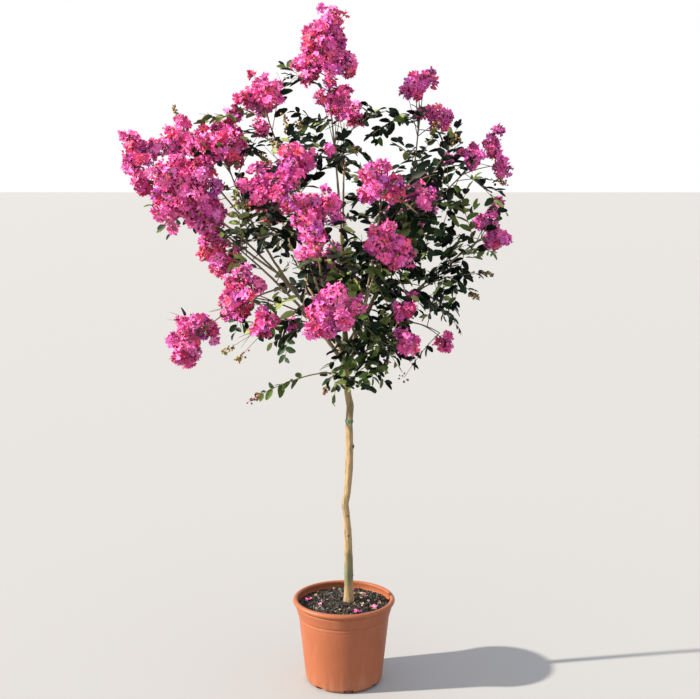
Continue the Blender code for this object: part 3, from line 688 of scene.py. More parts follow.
BOUGH_ROWS = 72
BOUGH_SIDES = 12
BOUGH_SWELL = 0.30
SWELL_FALL = 22.0
BOUGH_WANDER = 0.00035
BOUGH_RIDGES = ((0.05, 2, 9), (0.04, 3, -31))
BOUGH_KNOT = 0.10
BOUGH_KNOTS = 5.0
KNOT_SHARPNESS = 12
BOUGH_TAN = (0.30, 0.215, 0.115)
BOUGH_GREY = (0.19, 0.17, 0.115)

# The trunk's relief. Each flute and bark wave has its height, turns round, steps up and phase
SMOOTHED_ROWS = 7
FLUTES = ((0.035, 3, 7, 0.0), (0.025, 5, -23, 0.0), (0.018, 7, 41, 1.0))
BARK_WAVES = ((0.020, 2, 61, 0.0), (0.014, -3, 137, 0.0))
CRACK_DEPTH = 0.022
CRACK_SHARPNESS = 6
FLARE = 0.008
FLARE_HEIGHT = 0.010

# Knots on the trunk: height, direction round it, swelling, half height and half width as an angle
KNOTS = (
    (0.712, 0.15, 0.30, 0.0060, 0.42),
    (0.832, -1.10, 0.22, 0.0075, 0.50),
    (0.540, 2.60, 0.14, 0.0120, 0.80),
    (0.463, -0.40, 0.12, 0.0040, 0.40),
    (0.612, 1.90, 0.14, 0.0045, 0.40),
    (0.392, -2.20, 0.10, 0.0050, 0.50),
    (0.905, 2.80, 0.16, 0.0050, 0.45),
)

# Scars and stains on the trunk, and a dark spot of painted shade for a knot hole: centre, radius and colour
TRUNK_MARKS = (
    # Painted shade: a dark spot on the knot at 0.712 stands for the shade inside a hole that the mesh lacks
    ((0.0275, -0.003, 0.712), 0.0055, (0.030, 0.024, 0.018)),
    ((0.0130, -0.010, 0.826), 0.0075, (0.240, 0.125, 0.040)),
    ((0.0120, -0.008, 0.505), 0.0045, (0.160, 0.080, 0.040)),
    ((0.0140, -0.011, 0.445), 0.0050, (0.090, 0.085, 0.060)),
    ((0.0145, -0.011, 0.785), 0.0045, (0.120, 0.105, 0.070)),
    ((0.0000, -0.011, 0.330), 0.0350, (0.150, 0.140, 0.070)),
)


def bough_tubes(boughs, heap):
    """Boughs with bark relief. Radius: the taper, swollen at the foot, times 1 + soft ridges and knots."""
    rng = draws()
    part = np.linspace(0.0, 1.0, BOUGH_ROWS)
    angle = np.arange(BOUGH_SIDES) * math.tau / BOUGH_SIDES
    quads = grid_quads(BOUGH_ROWS, BOUGH_SIDES, closed=True)
    for mass in MASSES:
        limb = boughs.get(mass.name)
        if limb is None:
            continue
        radii = np.interp(part, np.linspace(0, 1, len(limb.radii)), limb.radii)
        radii = radii * (1.0 + BOUGH_SWELL * np.exp(-part * SWELL_FALL))
        wander = rng.normal(size=(BOUGH_ROWS, 3)).cumsum(axis=0) * BOUGH_WANDER
        wander = (wander - part[:, None] * wander[-1]) * np.sin(part * math.pi)[:, None]
        phase = rng.uniform(0, math.tau, 4)
        ridge = waves(angle[None], part[:, None], [(*row, turn) for row, turn in zip(BOUGH_RIDGES, phase)])
        knots = np.maximum(0.0, np.sin(math.tau * part * BOUGH_KNOTS + phase[2])) ** KNOT_SHARPNESS
        reach = radii[:, None] * (1.0 + ridge + BOUGH_KNOT * knots[:, None])
        heap.add(tube_grid(along(limb.points, part) + wander, reach, BOUGH_SIDES), quads, 0, mass)


def trunk_surface(rows, sides):
    """The trunk round a smooth centre line.

    Each ring's radius is its station's radius times 1 + flutes + bark waves + cracks + root flare + knots.
    """
    heights = np.linspace(TRUNK_STATIONS[0, 0], TRUNK_STATIONS[-1, 0], rows)
    kernel = np.exp(-np.linspace(-2, 2, 2 * SMOOTHED_ROWS + 1) ** 2)
    kernel /= kernel.sum()
    ends = ((SMOOTHED_ROWS, SMOOTHED_ROWS), (0, 0))
    padded = np.pad(np.column_stack(trunk_place(heights)), ends, mode="edge")
    across, back, _, radius = (np.convolve(column, kernel, mode="valid") for column in padded.T)
    centre = np.column_stack((across, back, heights))
    a, z = (np.arange(sides) * math.tau / sides)[None, :], heights[:, None]
    crack = -CRACK_DEPTH * np.maximum(0.0, np.sin(11 * a + 9 * np.sin(13 * z) + 19 * z)) ** CRACK_SHARPNESS
    flare = FLARE * np.exp(-(z - heights[0]) / FLARE_HEIGHT) * (1.0 + 0.5 * np.sin(5 * a + 0.6))
    bump = 1.0 + waves(a, z, FLUTES) + waves(a, z, BARK_WAVES) + crack + flare
    for height, turn, size, tall, wide in KNOTS:
        off = (a - turn + math.pi) % math.tau - math.pi
        bump = bump + size * np.exp(-((z - height) / tall) ** 2 - (off / wide) ** 2)
    reach = radius[:, None] * bump
    grid = centre[:, None] + np.stack((np.cos(a) * reach, np.sin(a) * reach, np.zeros_like(reach)), axis=-1)
    caps = np.repeat(np.stack((centre[0], centre[-1]))[:, None], sides, axis=1)
    return np.concatenate((caps[:1], grid, caps[1:]))


# Twigs and leaves. Ends are a line's radii at its foot and its tip, and sides the faces round it

STEM_SIDES = 6
HEAD_PATH_ENDS = (0.0019, 0.0010)
HEAD_PATH_SIDES = 5
STALK_ENDS = (0.0009, 0.0005)
STALK_SIDES = 3
STALK_LEAST = 0.01
SHOOT_ENDS = (0.0013, 0.0007)
TWIG_ENDS = (0.0009, 0.0005)
WHIP_ENDS = (0.0014, 0.0006)
TWIG_SIDES = 4

# How far out of the nearest mass shoots, leaves and flowers may stand, in parts of its reach
SHOOT_LIMIT = 1.85
LEAF_LIMIT = 1.9
FLOWER_LIMIT = 1.95
BOX_SPARE = 0.005
INNER_SHARE = 0.30

# Leafy shoots round a stem, spurs along a bough, fewer where the mass's shoots lean back in, and the side
# twigs of both. Falls and lifts are parts of the length, and clearances parts of a flower head's radius
SPRAY_SPREAD = math.radians(150.0)
SPRAY_FIRST = 0.25
SPRAY_LENGTHS = (0.7, 1.35)
SPRAY_FALL = (-0.30, 0.12)
SPRAY_LIFT = (0.05, 0.20)
SPRAY_POINTS = 13
SPRAY_LEAST = 5
SHOOT_CLEAR = 0.7
SPUR_SHARE = {-1: 0.60, 1: 0.85}
SPUR_SPREAD = math.radians(100.0)
SPUR_WAYS = 9
SPUR_STEP = 5
SPUR_OFFSET = 3
SPUR_FIRST = 0.38
SPUR_LENGTHS = (0.30, 0.70)
TWIG_FIRST = 0.30
TWIG_SPAN = 0.6
TWIG_ROLL = 0.7
TWIG_AHEAD = 0.75
TWIG_ASIDE = 0.65
TWIG_LENGTHS = (0.04, 0.085)
TWIG_LIFT = 0.08
TWIG_POINTS = 7
LEAFY_BOUGH = (0.45, 1.0)
LEAFY_POINTS = 15

# A leaf's grid, the ranges of its form, and how pairs of leaves stand along a twig
LEAF_ALONG = np.array((0.0, 0.20, 0.52, 0.85, 1.0))[None, :, None]
LEAF_ACROSS = np.array((-1.0, 0.0, 1.0))[None, None, :]
LEAF_PATCH = grid_quads(LEAF_ALONG.size, LEAF_ACROSS.size)
LEAF_CURL = (0.02, 0.20)
LEAF_FOLD = (0.15, 0.55)
LEAF_SWAY = (-0.12, 0.12)
LEAF_SIZES = (0.78, 1.15)
LEAF_ROLL = (-0.6, 0.6)
LEAF_LIFT = (-0.25, 0.25)
LEAF_OPENING = (math.radians(52.0), math.radians(12.0))
LEAF_WAVER = 0.22
LEAF_TWIST = 0.45
LEAF_FIRST = 0.10
PAIR_START = (0.3, 0.7)
PAIR_OFFSET = 0.25
LAST_PAIR = 0.99
HEADING_STEP = 0.05
TIP_TAPER = 0.35
TAPER_FROM = 0.6
OWN_TONE_SHARE = 0.78
TIP_CLEAR = 1.02
ROOT_CLEAR = 0.92

# Greens from the darkest to the brightest, their odds in the crown, and their odds where the light falls in
LEAF_TINTS = (
    (0.0032, 0.0080, 0.0050),
    (0.0058, 0.0150, 0.0080),
    (0.0125, 0.0310, 0.0115),
    (0.0850, 0.1350, 0.0330),
    (0.2200, 0.2800, 0.0900),
)
LEAF_ODDS = np.array((0.42, 0.33, 0.17, 0.06, 0.02))
# Painted light: more yellow-green leaves where the light falls in, low at the front left
PAINTED_LIGHT_ODDS = np.array((0.05, 0.10, 0.25, 0.35, 0.25))
PAINTED_LIGHT_PLACE = np.array((-0.15, -0.10, 1.00))
PAINTED_LIGHT_REACH = 0.24
TWIG_TINTS = ((0.150, 0.115, 0.055),)

# Long thin shoots: their mass, the part of its stem they start from, tip, lift, leafy part and bunch radius
WHIPS = (
    ("trailing", 0.5, (-0.273, -0.03, 0.850), 0.10, 0.80, 0.0),
    ("low_front_left", 0.9, (-0.326, -0.16, 1.016), 0.02, 0.5, 0.0),
    ("low_front_left", 0.9, (-0.285, -0.19, 1.000), 0.05, 0.5, 0.0),
    ("skirt", 1.0, (-0.052, -0.08, 0.892), 0.10, 0.6, 0.0),
    ("right_low", 1.0, (0.377, -0.05, 1.154), 0.06, 0.8, 0.0),
    ("right_low", 0.8, (0.415, -0.02, 1.215), 0.08, 0.8, 0.0),
    ("right", 1.0, (0.437, 0.05, 1.617), 0.04, 0.9, 0.010),
    ("far_right", 0.7, (0.436, 0.02, 1.413), 0.08, 0.9, 0.014),
    ("far_low_right", 1.0, (0.173, 0.00, 0.914), 0.10, 0.9, 0.014),
    ("centre_high", 1.0, (-0.038, -0.15, 1.561), 0.12, 0.9, 0.010),
    ("left_crest", 1.0, (-0.487, 0.12, 1.680), -0.04, 0.0, 0.0),
    ("high_right", 0.6, (0.330, 0.05, 1.585), 0.10, 0.8, 0.0),
    ("right", 0.4, (0.455, 0.02, 1.470), 0.12, 0.8, 0.0),
    ("low_right", 0.9, (0.118, -0.05, 0.946), 0.12, 0.8, 0.0),
    ("right_centre", 0.5, (0.262, -0.05, 1.640), 0.05, 0.9, 0.0),
    ("right_mid", 1.0, (0.318, -0.05, 1.600), 0.08, 0.9, 0.0),
    ("left_shoulder", 0.1, (-0.338, 0.03, 1.457), 0.05, 1.0, 0.0),
    ("left_shoulder", 0.2, (-0.293, 0.04, 1.482), 0.05, 1.0, 0.0),
    ("left_hang", 0.2, (-0.270, -0.02, 1.406), 0.05, 1.0, 0.0),
    ("left_hang", 0.3, (-0.302, 0.00, 1.433), 0.05, 1.0, 0.0),
    ("centre_high", 0.3, (-0.165, 0.00, 1.654), 0.05, 1.0, 0.0),
    ("centre_high", 0.4, (-0.121, 0.00, 1.640), 0.05, 1.0, 0.0),
    ("centre_high", 0.5, (-0.198, -0.02, 1.596), 0.05, 1.0, 0.0),
    ("centre_high", 0.3, (-0.225, -0.04, 1.544), 0.05, 1.0, 0.0),
    ("top_plume", 0.0, (0.007, -0.02, 1.500), 0.05, 1.0, 0.0),
    ("top_plume", 0.0, (0.038, 0.00, 1.561), 0.05, 1.0, 0.0),
)
WHIP_POINTS = 21
WHIP_LEAF_FIRST = 0.2

# Small flower sprigs beside the heads: their mass, the part of its stem they start from, tip and bunch radius
SPRIGS = (
    ("top_plume", 1.0, (-0.026, 0.03, 1.932), 0.014),
    ("top_plume", 0.0, (-0.016, 0.03, 1.707), 0.022),
    ("top_plume", 0.0, (-0.060, 0.00, 1.703), 0.016),
    ("top_plume", 0.0, (0.004, 0.00, 1.719), 0.017),
    ("far_left", 1.0, (-0.622, 0.02, 1.603), 0.008),
    ("far_left", 0.8, (-0.579, 0.02, 1.583), 0.012),
    ("left_crest", 0.8, (-0.462, 0.06, 1.645), 0.012),
    ("high_right", 0.5, (0.178, 0.06, 1.722), 0.016),
    ("right", 0.9, (0.460, 0.02, 1.500), 0.012),
    ("right", 0.2, (0.289, 0.00, 1.539), 0.010),
    ("far_right", 0.9, (0.418, -0.02, 1.387), 0.013),
    ("far_right", 0.8, (0.453, -0.02, 1.311), 0.014),
    ("low_right", 0.5, (0.192, -0.10, 1.160), 0.013),
    ("low_right", 0.8, (0.155, -0.14, 1.066), 0.011),
    ("low_front_left", 0.5, (-0.134, -0.24, 1.099), 0.014),
    ("low_left", 0.9, (-0.324, -0.12, 1.115), 0.013),
    ("left_hang", 0.4, (-0.268, -0.12, 1.467), 0.015),
    ("left_shoulder", 0.3, (-0.227, 0.00, 1.621), 0.020),
    ("centre_high", 0.4, (-0.225, -0.16, 1.435), 0.017),
    ("far_right", 0.9, (0.395, 0.02, 1.359), 0.021),
    ("far_right", 0.8, (0.424, 0.02, 1.306), 0.022),
    ("high_right", 0.5, (0.291, 0.05, 1.652), 0.017),
    ("high_right", 0.4, (0.218, 0.05, 1.661), 0.015),
)
SPRIG_LIFT = 0.06
SPRIG_POINTS = 9


def leaf_points(roots, way, normal, length, width, rng):
    """Leaves: half-width W sin(pi u^0.9)^0.55, edges raised into a fold, blade curled down by u squared."""
    u, v = LEAF_ALONG, LEAF_ACROSS
    side = np.cross(normal, way)
    length = length[:, None, None]
    half = 0.5 * width[:, None, None] * (np.sin(math.pi * np.clip(u, 0.03, 0.97) ** 0.9) ** 0.55)
    shape = (len(roots), 1, 1)
    curl, fold, sway = (rng.uniform(*limits, shape) for limits in (LEAF_CURL, LEAF_FOLD, LEAF_SWAY))
    ahead = length * u * (1.0 - 0.3 * curl * u) + 0.0 * v
    rise = fold * half * np.abs(v) - curl * length * u ** 2
    across = half * v + sway * length * u ** 2
    return (
        roots[:, None, None]
        + ahead[..., None] * way[:, None, None]
        + across[..., None] * side[:, None, None]
        + rise[..., None] * normal[:, None, None]
    )


def leaf_pairs(path, step, rng, first):
    """Roots, headings, normals and sizes of leaves in pairs along a shoot, and one at its tip."""
    roll, lift = rng.uniform(*LEAF_ROLL), rng.uniform(*LEAF_LIFT)
    pairs = max(1, int(path_length(path) * (1.0 - first) / step))
    part = first + (1.0 - first) * (np.arange(pairs) + rng.uniform(*PAIR_START)) / pairs
    part = np.repeat(part, 2) + np.tile((0.0, PAIR_OFFSET / pairs), pairs)
    part = np.append(np.clip(part, 0, LAST_PAIR), 1.0)
    count = len(part)
    roots = along(path, part)
    heading = unit(along(path, part + HEADING_STEP) - along(path, part - HEADING_STEP))
    side = rotate(unit(np.cross(heading, UP) + NUDGE), heading, np.full(count, roll))
    sign = np.append(np.tile((1.0, -1.0), pairs), 0.0)
    opening = rng.normal(*LEAF_OPENING, count)
    way = np.cos(opening * np.abs(sign))[:, None] * heading + (np.sin(opening) * sign)[:, None] * side
    normal = unit(np.cross(side, heading))
    normal = np.where(normal[:, 2:] < 0, -normal, normal)
    way = unit(way + normal * rng.normal(lift, LEAF_WAVER, count)[:, None])
    normal = unit(normal - way * (normal * way).sum(-1, keepdims=True))
    normal = rotate(normal, way, rng.normal(0.0, LEAF_TWIST, count))
    taper = 1.0 - TIP_TAPER * np.clip(part - TAPER_FROM, 0, 1) / (1.0 - TAPER_FROM)
    return roots, way, normal, rng.uniform(*LEAF_SIZES, count) * taper


def outside_heads(points, heads, share):
    """Which points lie outside every flower head, each drawn in or out to a share of its radius."""
    centres = np.array([head.centre for head in heads])
    radii = np.array([head.radius for head in heads])
    return (np.linalg.norm(points[:, None] - centres, axis=-1) > share * radii).all(axis=1)


def in_box(places):
    """Which places lie within the solids' outer box or a little outside it."""
    low, high = np.array(CAD_BOX[0]) - BOX_SPARE, np.array(CAD_BOX[1]) + BOX_SPARE
    return ((places > low) & (places < high)).all(axis=-1)


def spray_plan(mass, bough, stem, look, rng):
    """Each shoot's start, way and length: a spiral round a mass's stem, and spurs along its bough."""
    outward = mass.lean * unit(mass.centre - CROWN_MIDDLE)
    first = SPRAY_FIRST if mass.name in ON_TRUNK else 0.0
    plan = []
    for count, way in enumerate(spiral(mass.sprays, outward, SPRAY_SPREAD, mass.turn)):
        start = along(stem.points, first + (1.0 - first) * (count * GOLDEN_PART % 1.0))[0]
        plan.append((start, way, look.shoot_length * rng.uniform(*SPRAY_LENGTHS)))
    if bough is not None:
        heading = unit(bough.points[-1] - bough.points[0])
        spurs = int(path_length(bough.points) * look.spurs * SPUR_SHARE[mass.lean])
        for count in range(spurs):
            start = along(bough.points, SPUR_FIRST + (1.0 - SPUR_FIRST) * (count + rng.uniform()) / spurs)[0]
            ways = spiral(SPUR_WAYS, heading, SPUR_SPREAD, mass.turn + count)
            way = ways[(SPUR_STEP * count + SPUR_OFFSET) % SPUR_WAYS]
            plan.append((start, way, look.shoot_length * rng.uniform(*SPUR_LENGTHS)))
    return plan


def spray_lines(start, way, reach, heads, look, rng):
    """One arching shoot, cut back where it leaves the crown or meets a flower head, and its side twigs."""
    end = start + way * reach + rng.uniform(*SPRAY_FALL) * reach * UP
    path = shoot_path(start, end, rng.uniform(*SPRAY_LIFT), SPRAY_POINTS)
    inside = in_crown(path, SHOOT_LIMIT) & outside_heads(path, heads, SHOOT_CLEAR) & in_box(path)
    keep = int(np.cumprod(inside[2:]).sum()) + 2
    if keep < SPRAY_LEAST:
        return []
    path = path[:keep]
    lines = [(path, SHOOT_ENDS)]
    length = path_length(path)
    heading = unit(path[-1] - path[0])
    level = unit(np.cross(heading, UP) + NUDGE)
    for fork in range(int(length / look.fork_step)):
        base = along(path, TWIG_FIRST + TWIG_SPAN * (fork + 0.5) * look.fork_step / length)[0]
        side = rotate(level, heading, rng.uniform(-TWIG_ROLL, TWIG_ROLL, 1)[0]) * (1.0 if fork % 2 else -1.0)
        tip = base + unit(TWIG_AHEAD * heading + TWIG_ASIDE * side) * rng.uniform(*TWIG_LENGTHS)
        twig = shoot_path(base, tip, TWIG_LIFT, TWIG_POINTS)
        if in_crown(twig, LEAF_LIMIT).all() and in_box(twig).all():
            lines.append((twig, TWIG_ENDS))
    return lines


def dress_line(line, heads, mass, look, tone, rng, heap, first=LEAF_FIRST):
    """Leaves in pairs along a twig, left out where they would lie in a flower head or outside the crown.

    Where a mass's shoots lean back in, leaves are left out on its outer side too.
    """
    leaves = leaf_pairs(line, look.leaf_step, rng, first)
    roots, ways, _, sizes = leaves
    tips = roots + ways * (look.leaf_length * sizes)[:, None]
    fine = outside_heads(tips, heads, TIP_CLEAR) & outside_heads(roots, heads, ROOT_CLEAR)
    fine &= in_crown(tips, LEAF_LIMIT) & in_box(tips)
    if mass.lean < 0:
        fine &= ((tips - mass.centre) / mass.reach) @ unit(mass.centre - CROWN_MIDDLE) < INNER_SHARE
    if not fine.any():
        return 0
    roots, ways, normals, sizes = (part[fine] for part in leaves)
    points = leaf_points(roots, ways, normals, look.leaf_length * sizes, look.leaf_width * sizes, rng)
    other = rng.integers(0, len(LEAF_TINTS), len(roots))
    tints = np.where(rng.uniform(size=len(roots)) < OWN_TONE_SHARE, tone, other)
    heap.add_copies(points, LEAF_PATCH, tints, mass)
    return len(roots)


def leaf_tone(place, rng):
    """A shoot's green: near black in the middle of the crown, with painted light low at the front left, where
    yellow-green leaves stand for the light falling in.
    """
    lit = np.exp(-((place - PAINTED_LIGHT_PLACE) ** 2).sum() / PAINTED_LIGHT_REACH ** 2)
    odds = LEAF_ODDS * (1.0 - lit) + PAINTED_LIGHT_ODDS * lit
    return rng.choice(len(LEAF_TINTS), p=odds / odds.sum())


def grow_sprays(boughs, stems, heads, leaf_heap, twig_heap, look):
    """Leafy shoots round each stem and bough that fork into finer twigs and carry leaves in pairs."""
    total = 0
    for number, mass in enumerate(MASSES):
        rng = draws(SPRAY_DRAWS, number)
        for start, way, reach in spray_plan(mass, boughs.get(mass.name), stems[mass.name], look, rng):
            tone = leaf_tone(start + 0.5 * reach * way, rng)
            for line, ends in spray_lines(start, way, reach, heads, look, rng):
                twig_heap.add_tube(line, ends, TWIG_SIDES, mass)
                total += dress_line(line, heads, mass, look, tone, rng, leaf_heap)
        if mass.name in boughs and mass.lean > 0:
            line = along(boughs[mass.name].points, np.linspace(*LEAFY_BOUGH, LEAFY_POINTS))
            tone = leaf_tone(line[LEAFY_POINTS // 2], rng)
            total += dress_line(line, heads, mass, look, tone, rng, leaf_heap)
    return total


def whip_paths(stems):
    """The long shoots and the sprigs: each one's mass, path, leafy part and bunch radius."""
    masses = {mass.name: mass for mass in MASSES}
    rows = [(*row, WHIP_POINTS) for row in WHIPS]
    rows += [(*row[:3], SPRIG_LIFT, 0.0, row[3], SPRIG_POINTS) for row in SPRIGS]
    for name, part, tip, lift, leafy, bloom, count in rows:
        start = along(stems[name].points, part)[0]
        yield masses[name], shoot_path(start, np.array(tip), lift, count), leafy, bloom


def grow_whips(stems, heads, leaf_heap, twig_heap, look):
    """Long shoots with leaves in pairs along them, and the bare stalks of the sprigs."""
    total = 0
    for mass, path, leafy, _ in whip_paths(stems):
        rng = draws(WHIP_DRAWS, int(MILLI * abs(path[-1, 0])))
        twig_heap.add_tube(path, WHIP_ENDS, TWIG_SIDES, mass)
        if leafy:
            line = along(path, np.linspace(0.0, leafy, LEAFY_POINTS))
            tone = leaf_tone(path[len(path) // 2], rng)
            total += dress_line(line, heads, mass, look, tone, rng, leaf_heap, WHIP_LEAF_FIRST)
    return total


# Blossom. A petal's grid runs along it and across it, with its half width at each step along

PETALS = 6
PETAL_JOSTLE = 0.16
PETAL_PATCH = grid_quads(3, 4)
PETAL_ALONG = np.array((0.05, 0.55, 1.0))[None, None, :, None]
PETAL_HALVES = np.array((0.05, 0.30, 0.44))[None, None, :, None]
PETAL_ACROSS = np.linspace(-1.0, 1.0, 4)[None, None, None, :]

# Ranges for each petal: size, tilt, fall of its edge, and phase and step of its ripples
PETAL_RANGES = ((0.85, 1.12), (0.15, 0.95), (0.1, 0.9), (0.0, math.tau), (2.2, 4.2))

# Turned forms of a flower and of a bud: rings of height and radius
TUFT = ((-0.0010, 0.0003), (0.0022, 0.0021), (0.0052, 0.0004))
CALYX = ((-0.0004, 0.0024), (0.0028, 0.0026), (0.0075, 0.0004))
CUP_PATCH = grid_quads(3, 3, closed=True)
CUP_SIDES = 3
BUD = ((-0.0038, 0.0004), (-0.0016, 0.0030), (0.0014, 0.0028), (0.0036, 0.0004))
BUD_PATCH = grid_quads(4, 4, closed=True)
BUD_SIDES = 4

# Bunches of flowers that make up a head. Offsets, sizes and reaches are parts of the head's radius
BUNCHES_LEAST = 4
BUNCHES_MORE = 72.0
BUNCH_SPREAD = math.radians(135.0)
BUNCH_RISE = (0.0, 0.0, 0.4)
BUNCH_TURN = 1.7
BUNCH_JOSTLE = 0.22
BUNCH_OFFSETS = (0.46, 0.74)
BUNCH_SIZES = (0.20, 0.34)
BUNCH_STRETCH = (1.0, 1.0, 1.12)
MIDDLE_SHARE = 0.34
FULLNESS = 1.14
FULLNESS_LOSS = 0.04
LINK_TONE = 0.35
LINK_REACH = 2.7
LINK_JOSTLE = 0.2
LINK_SIZES = (0.30, 0.46)

# Tint of the flowers on a sprig's end, in a warm mass and in a cool one
SPRIG_TINTS = (2, 3)

# Flowers and buds on a bunch: shares and reaches are parts of its size or of a petal's length
FLOWERS_LEAST = 5
FLOWER_SINK = 0.30
FLOWER_SIZES = (0.78, 1.15)
FLOWER_TILT = 0.42
FLOWER_RISE = (0.0, 0.0, 0.12)
BALL_JOSTLE = 0.16
REACH_VARIES = 0.09
WISP_SHARE = 0.08
WISP_REACHES = (0.3, 0.9)
BURIED_DEPTH = 0.25
BURIED_SHARE = 0.7
FLOWER_CLEAR = 0.80
LEADING_SHARE = 0.55
BUD_REACHES = (0.84, 1.14)
BUD_CLEAR = 0.78
BUD_SIZES = (0.75, 1.25)
SPIKE_BUDS = 26
SPIKE_PART = (0.80, 1.0)
SPIKE_REACHES = (0.004, 0.013)
SPIKE_LEAN = 0.8

# Petals: pinks, magenta, violet and coral, with their odds in warm masses and in cool ones, and how much
# more of each there is where a flower faces up, which is painted light: paler pinks facing up to the light,
# coral and dark crimson facing down into shade
PETAL_TINTS = (
    (0.800, 0.200, 0.560),
    (0.870, 0.190, 0.500),
    (0.840, 0.130, 0.420),
    (0.680, 0.105, 0.420),
    (0.530, 0.110, 0.460),
    (0.850, 0.120, 0.250),
    (0.480, 0.042, 0.150),
    (0.500, 0.110, 0.420),
)
# Warm and cool masses are partly painted light and shade: the sunlit masses on the left are warm, the shaded
# ones on the right cool.
WARM_ODDS = np.array((0.17, 0.20, 0.36, 0.10, 0.02, 0.10, 0.05, 0.0))
COOL_ODDS = np.array((0.13, 0.07, 0.19, 0.27, 0.22, 0.03, 0.03, 0.06))
PAINTED_LIGHT_FACING_UP = np.array((1.3, 0.7, 0.0, 0.0, 0.2, -0.8, -1.3, 0.4))
TUFT_TINTS = ((0.850, 0.520, 0.080),)
BUD_TINTS = (
    (0.060, 0.090, 0.028),
    (0.210, 0.200, 0.050),
    (0.420, 0.240, 0.060),
    (0.240, 0.035, 0.060),
    (0.050, 0.016, 0.018),
)
BUD_ODDS = (0.22, 0.28, 0.18, 0.18, 0.14)

Bunch = namedtuple("Bunch", "centre size middle mass tint")


def tint_odds(mass):
    """The petal tints' odds: pinks and coral in masses of a low tone, magenta and violet in cool ones; partly
    painted light and shade.
    """
    odds = (1.0 - mass.tone) * WARM_ODDS + mass.tone * COOL_ODDS
    return odds / odds.sum()


def head_bunches(heads, stems):
    """Every flower head's bunches: small ones round its middle, one in its middle, and links to near heads.

    The ends of sprigs and of some long shoots carry one each. A bunch has its centre, its size, its head's
    middle, its mass and its leading tint.
    """
    bunches = []
    for index, head in enumerate(heads):
        rng = draws(BUNCH_DRAWS, index)
        heading = unit(unit(head.path[-1] - head.path[-3]) + BUNCH_RISE)
        count = int(BUNCHES_LEAST + BUNCHES_MORE * head.radius)
        ways = spiral(count, heading, BUNCH_SPREAD, head.turn)
        ways = unit(ways + rng.normal(0.0, BUNCH_JOSTLE, (count, 3)))
        full = head.radius * (FULLNESS - FULLNESS_LOSS * head.mass.tone)
        offsets = full * rng.uniform(*BUNCH_OFFSETS, count)
        sizes = full * rng.uniform(*BUNCH_SIZES, count)
        centres = head.centre + ways * offsets[:, None] * BUNCH_STRETCH
        tints = rng.choice(len(PETAL_TINTS), size=count + 1, p=tint_odds(head.mass))
        bunches += [Bunch(*row, head.centre, head.mass, tint) for *row, tint in zip(centres, sizes, tints)]
        bunches.append(Bunch(head.centre, MIDDLE_SHARE * head.radius, head.centre, head.mass, tints[-1]))
    rng = draws()
    for index, first in enumerate(heads):
        for second in heads[index + 1:]:
            radius = 0.5 * (first.radius + second.radius)
            near = np.linalg.norm(first.centre - second.centre) < LINK_REACH * radius
            if near and max(first.mass.tone, second.mass.tone) < LINK_TONE:
                middle = 0.5 * (first.centre + second.centre) + rng.normal(0.0, LINK_JOSTLE * radius, 3)
                size = radius * rng.uniform(*LINK_SIZES)
                tint = rng.choice(len(PETAL_TINTS), size=1, p=tint_odds(first.mass))[0]
                bunches.append(Bunch(middle, size, middle, first.mass, tint))
    for mass, path, _, bloom in whip_paths(stems):
        if bloom:
            bunches.append(Bunch(path[-1], bloom, path[-1], mass, SPRIG_TINTS[int(mass.tone >= LINK_TONE)]))
    return bunches


def ball_ways(count, turn, rng):
    """Directions spread evenly over a ball, a golden angle apart, then jostled."""
    step = np.arange(count)
    height = 1.0 - 2.0 * (step + 0.5) / count
    flat = np.sqrt(1.0 - height ** 2)
    angle = turn + step * GOLDEN_ANGLE
    ways = np.column_stack((flat * np.cos(angle), flat * np.sin(angle), height))
    return unit(ways + rng.normal(0, BALL_JOSTLE, (count, 3)))


def flower_tints(bunch, ways, rng):
    """A tint for each flower: its bunch's leading tint or one drawn by odds, with painted light: paler where
    it faces up, darker where it faces down.
    """
    odds = tint_odds(bunch.mass) * np.exp(PAINTED_LIGHT_FACING_UP * ways[:, 2:])
    odds = np.cumsum(odds / odds.sum(axis=1, keepdims=True), axis=1)
    drawn = np.minimum((rng.uniform(size=(len(ways), 1)) > odds).sum(axis=1), len(PETAL_TINTS) - 1)
    return np.where(rng.uniform(size=len(ways)) < LEADING_SHARE, bunch.tint, drawn)


def petal_points(places, face, length, rng):
    """Six petals a flower. Each runs out from a narrow claw, at u = 0, to a wide blade whose height
    ripples as a sine across it, more towards its edge, and that cups up and then falls away."""
    count = len(places)
    u, v, half = PETAL_ALONG, PETAL_ACROSS, PETAL_HALVES
    side, other = square_to(face, unit(rng.normal(size=(count, 3))))
    turn = rng.uniform(0, math.tau, (count, 1)) + np.arange(PETALS) * math.tau / PETALS
    turn = turn + rng.normal(0, PETAL_JOSTLE, (count, PETALS))
    ahead = np.cos(turn)[..., None] * side[:, None] + np.sin(turn)[..., None] * other[:, None]
    across = np.cross(face[:, None], ahead)
    size, tilt, fall, phase, step = (rng.uniform(*limits, (count, PETALS, 1, 1)) for limits in PETAL_RANGES)
    size = length[:, None, None, None] * size
    ripple = 0.28 * u ** 1.5 * np.sin(step * v * 1.6 + phase)
    ruffle = 0.17 * u ** 2 * np.cos(step * v * 2.3 + 2.0 * phase)
    out = size * (u * np.cos(tilt * u) + ruffle)
    rise = size * (u * np.sin(tilt) - 0.45 * fall * u ** 3 + ripple)
    wide = size * half * v * (1.0 + 0.12 * np.sin(phase + 3.0 * u))
    return (
        places[:, None, None, None]
        + out[..., None] * ahead[:, :, None, None]
        + rise[..., None] * face[:, None, None, None]
        + wide[..., None] * across[:, :, None, None]
    )


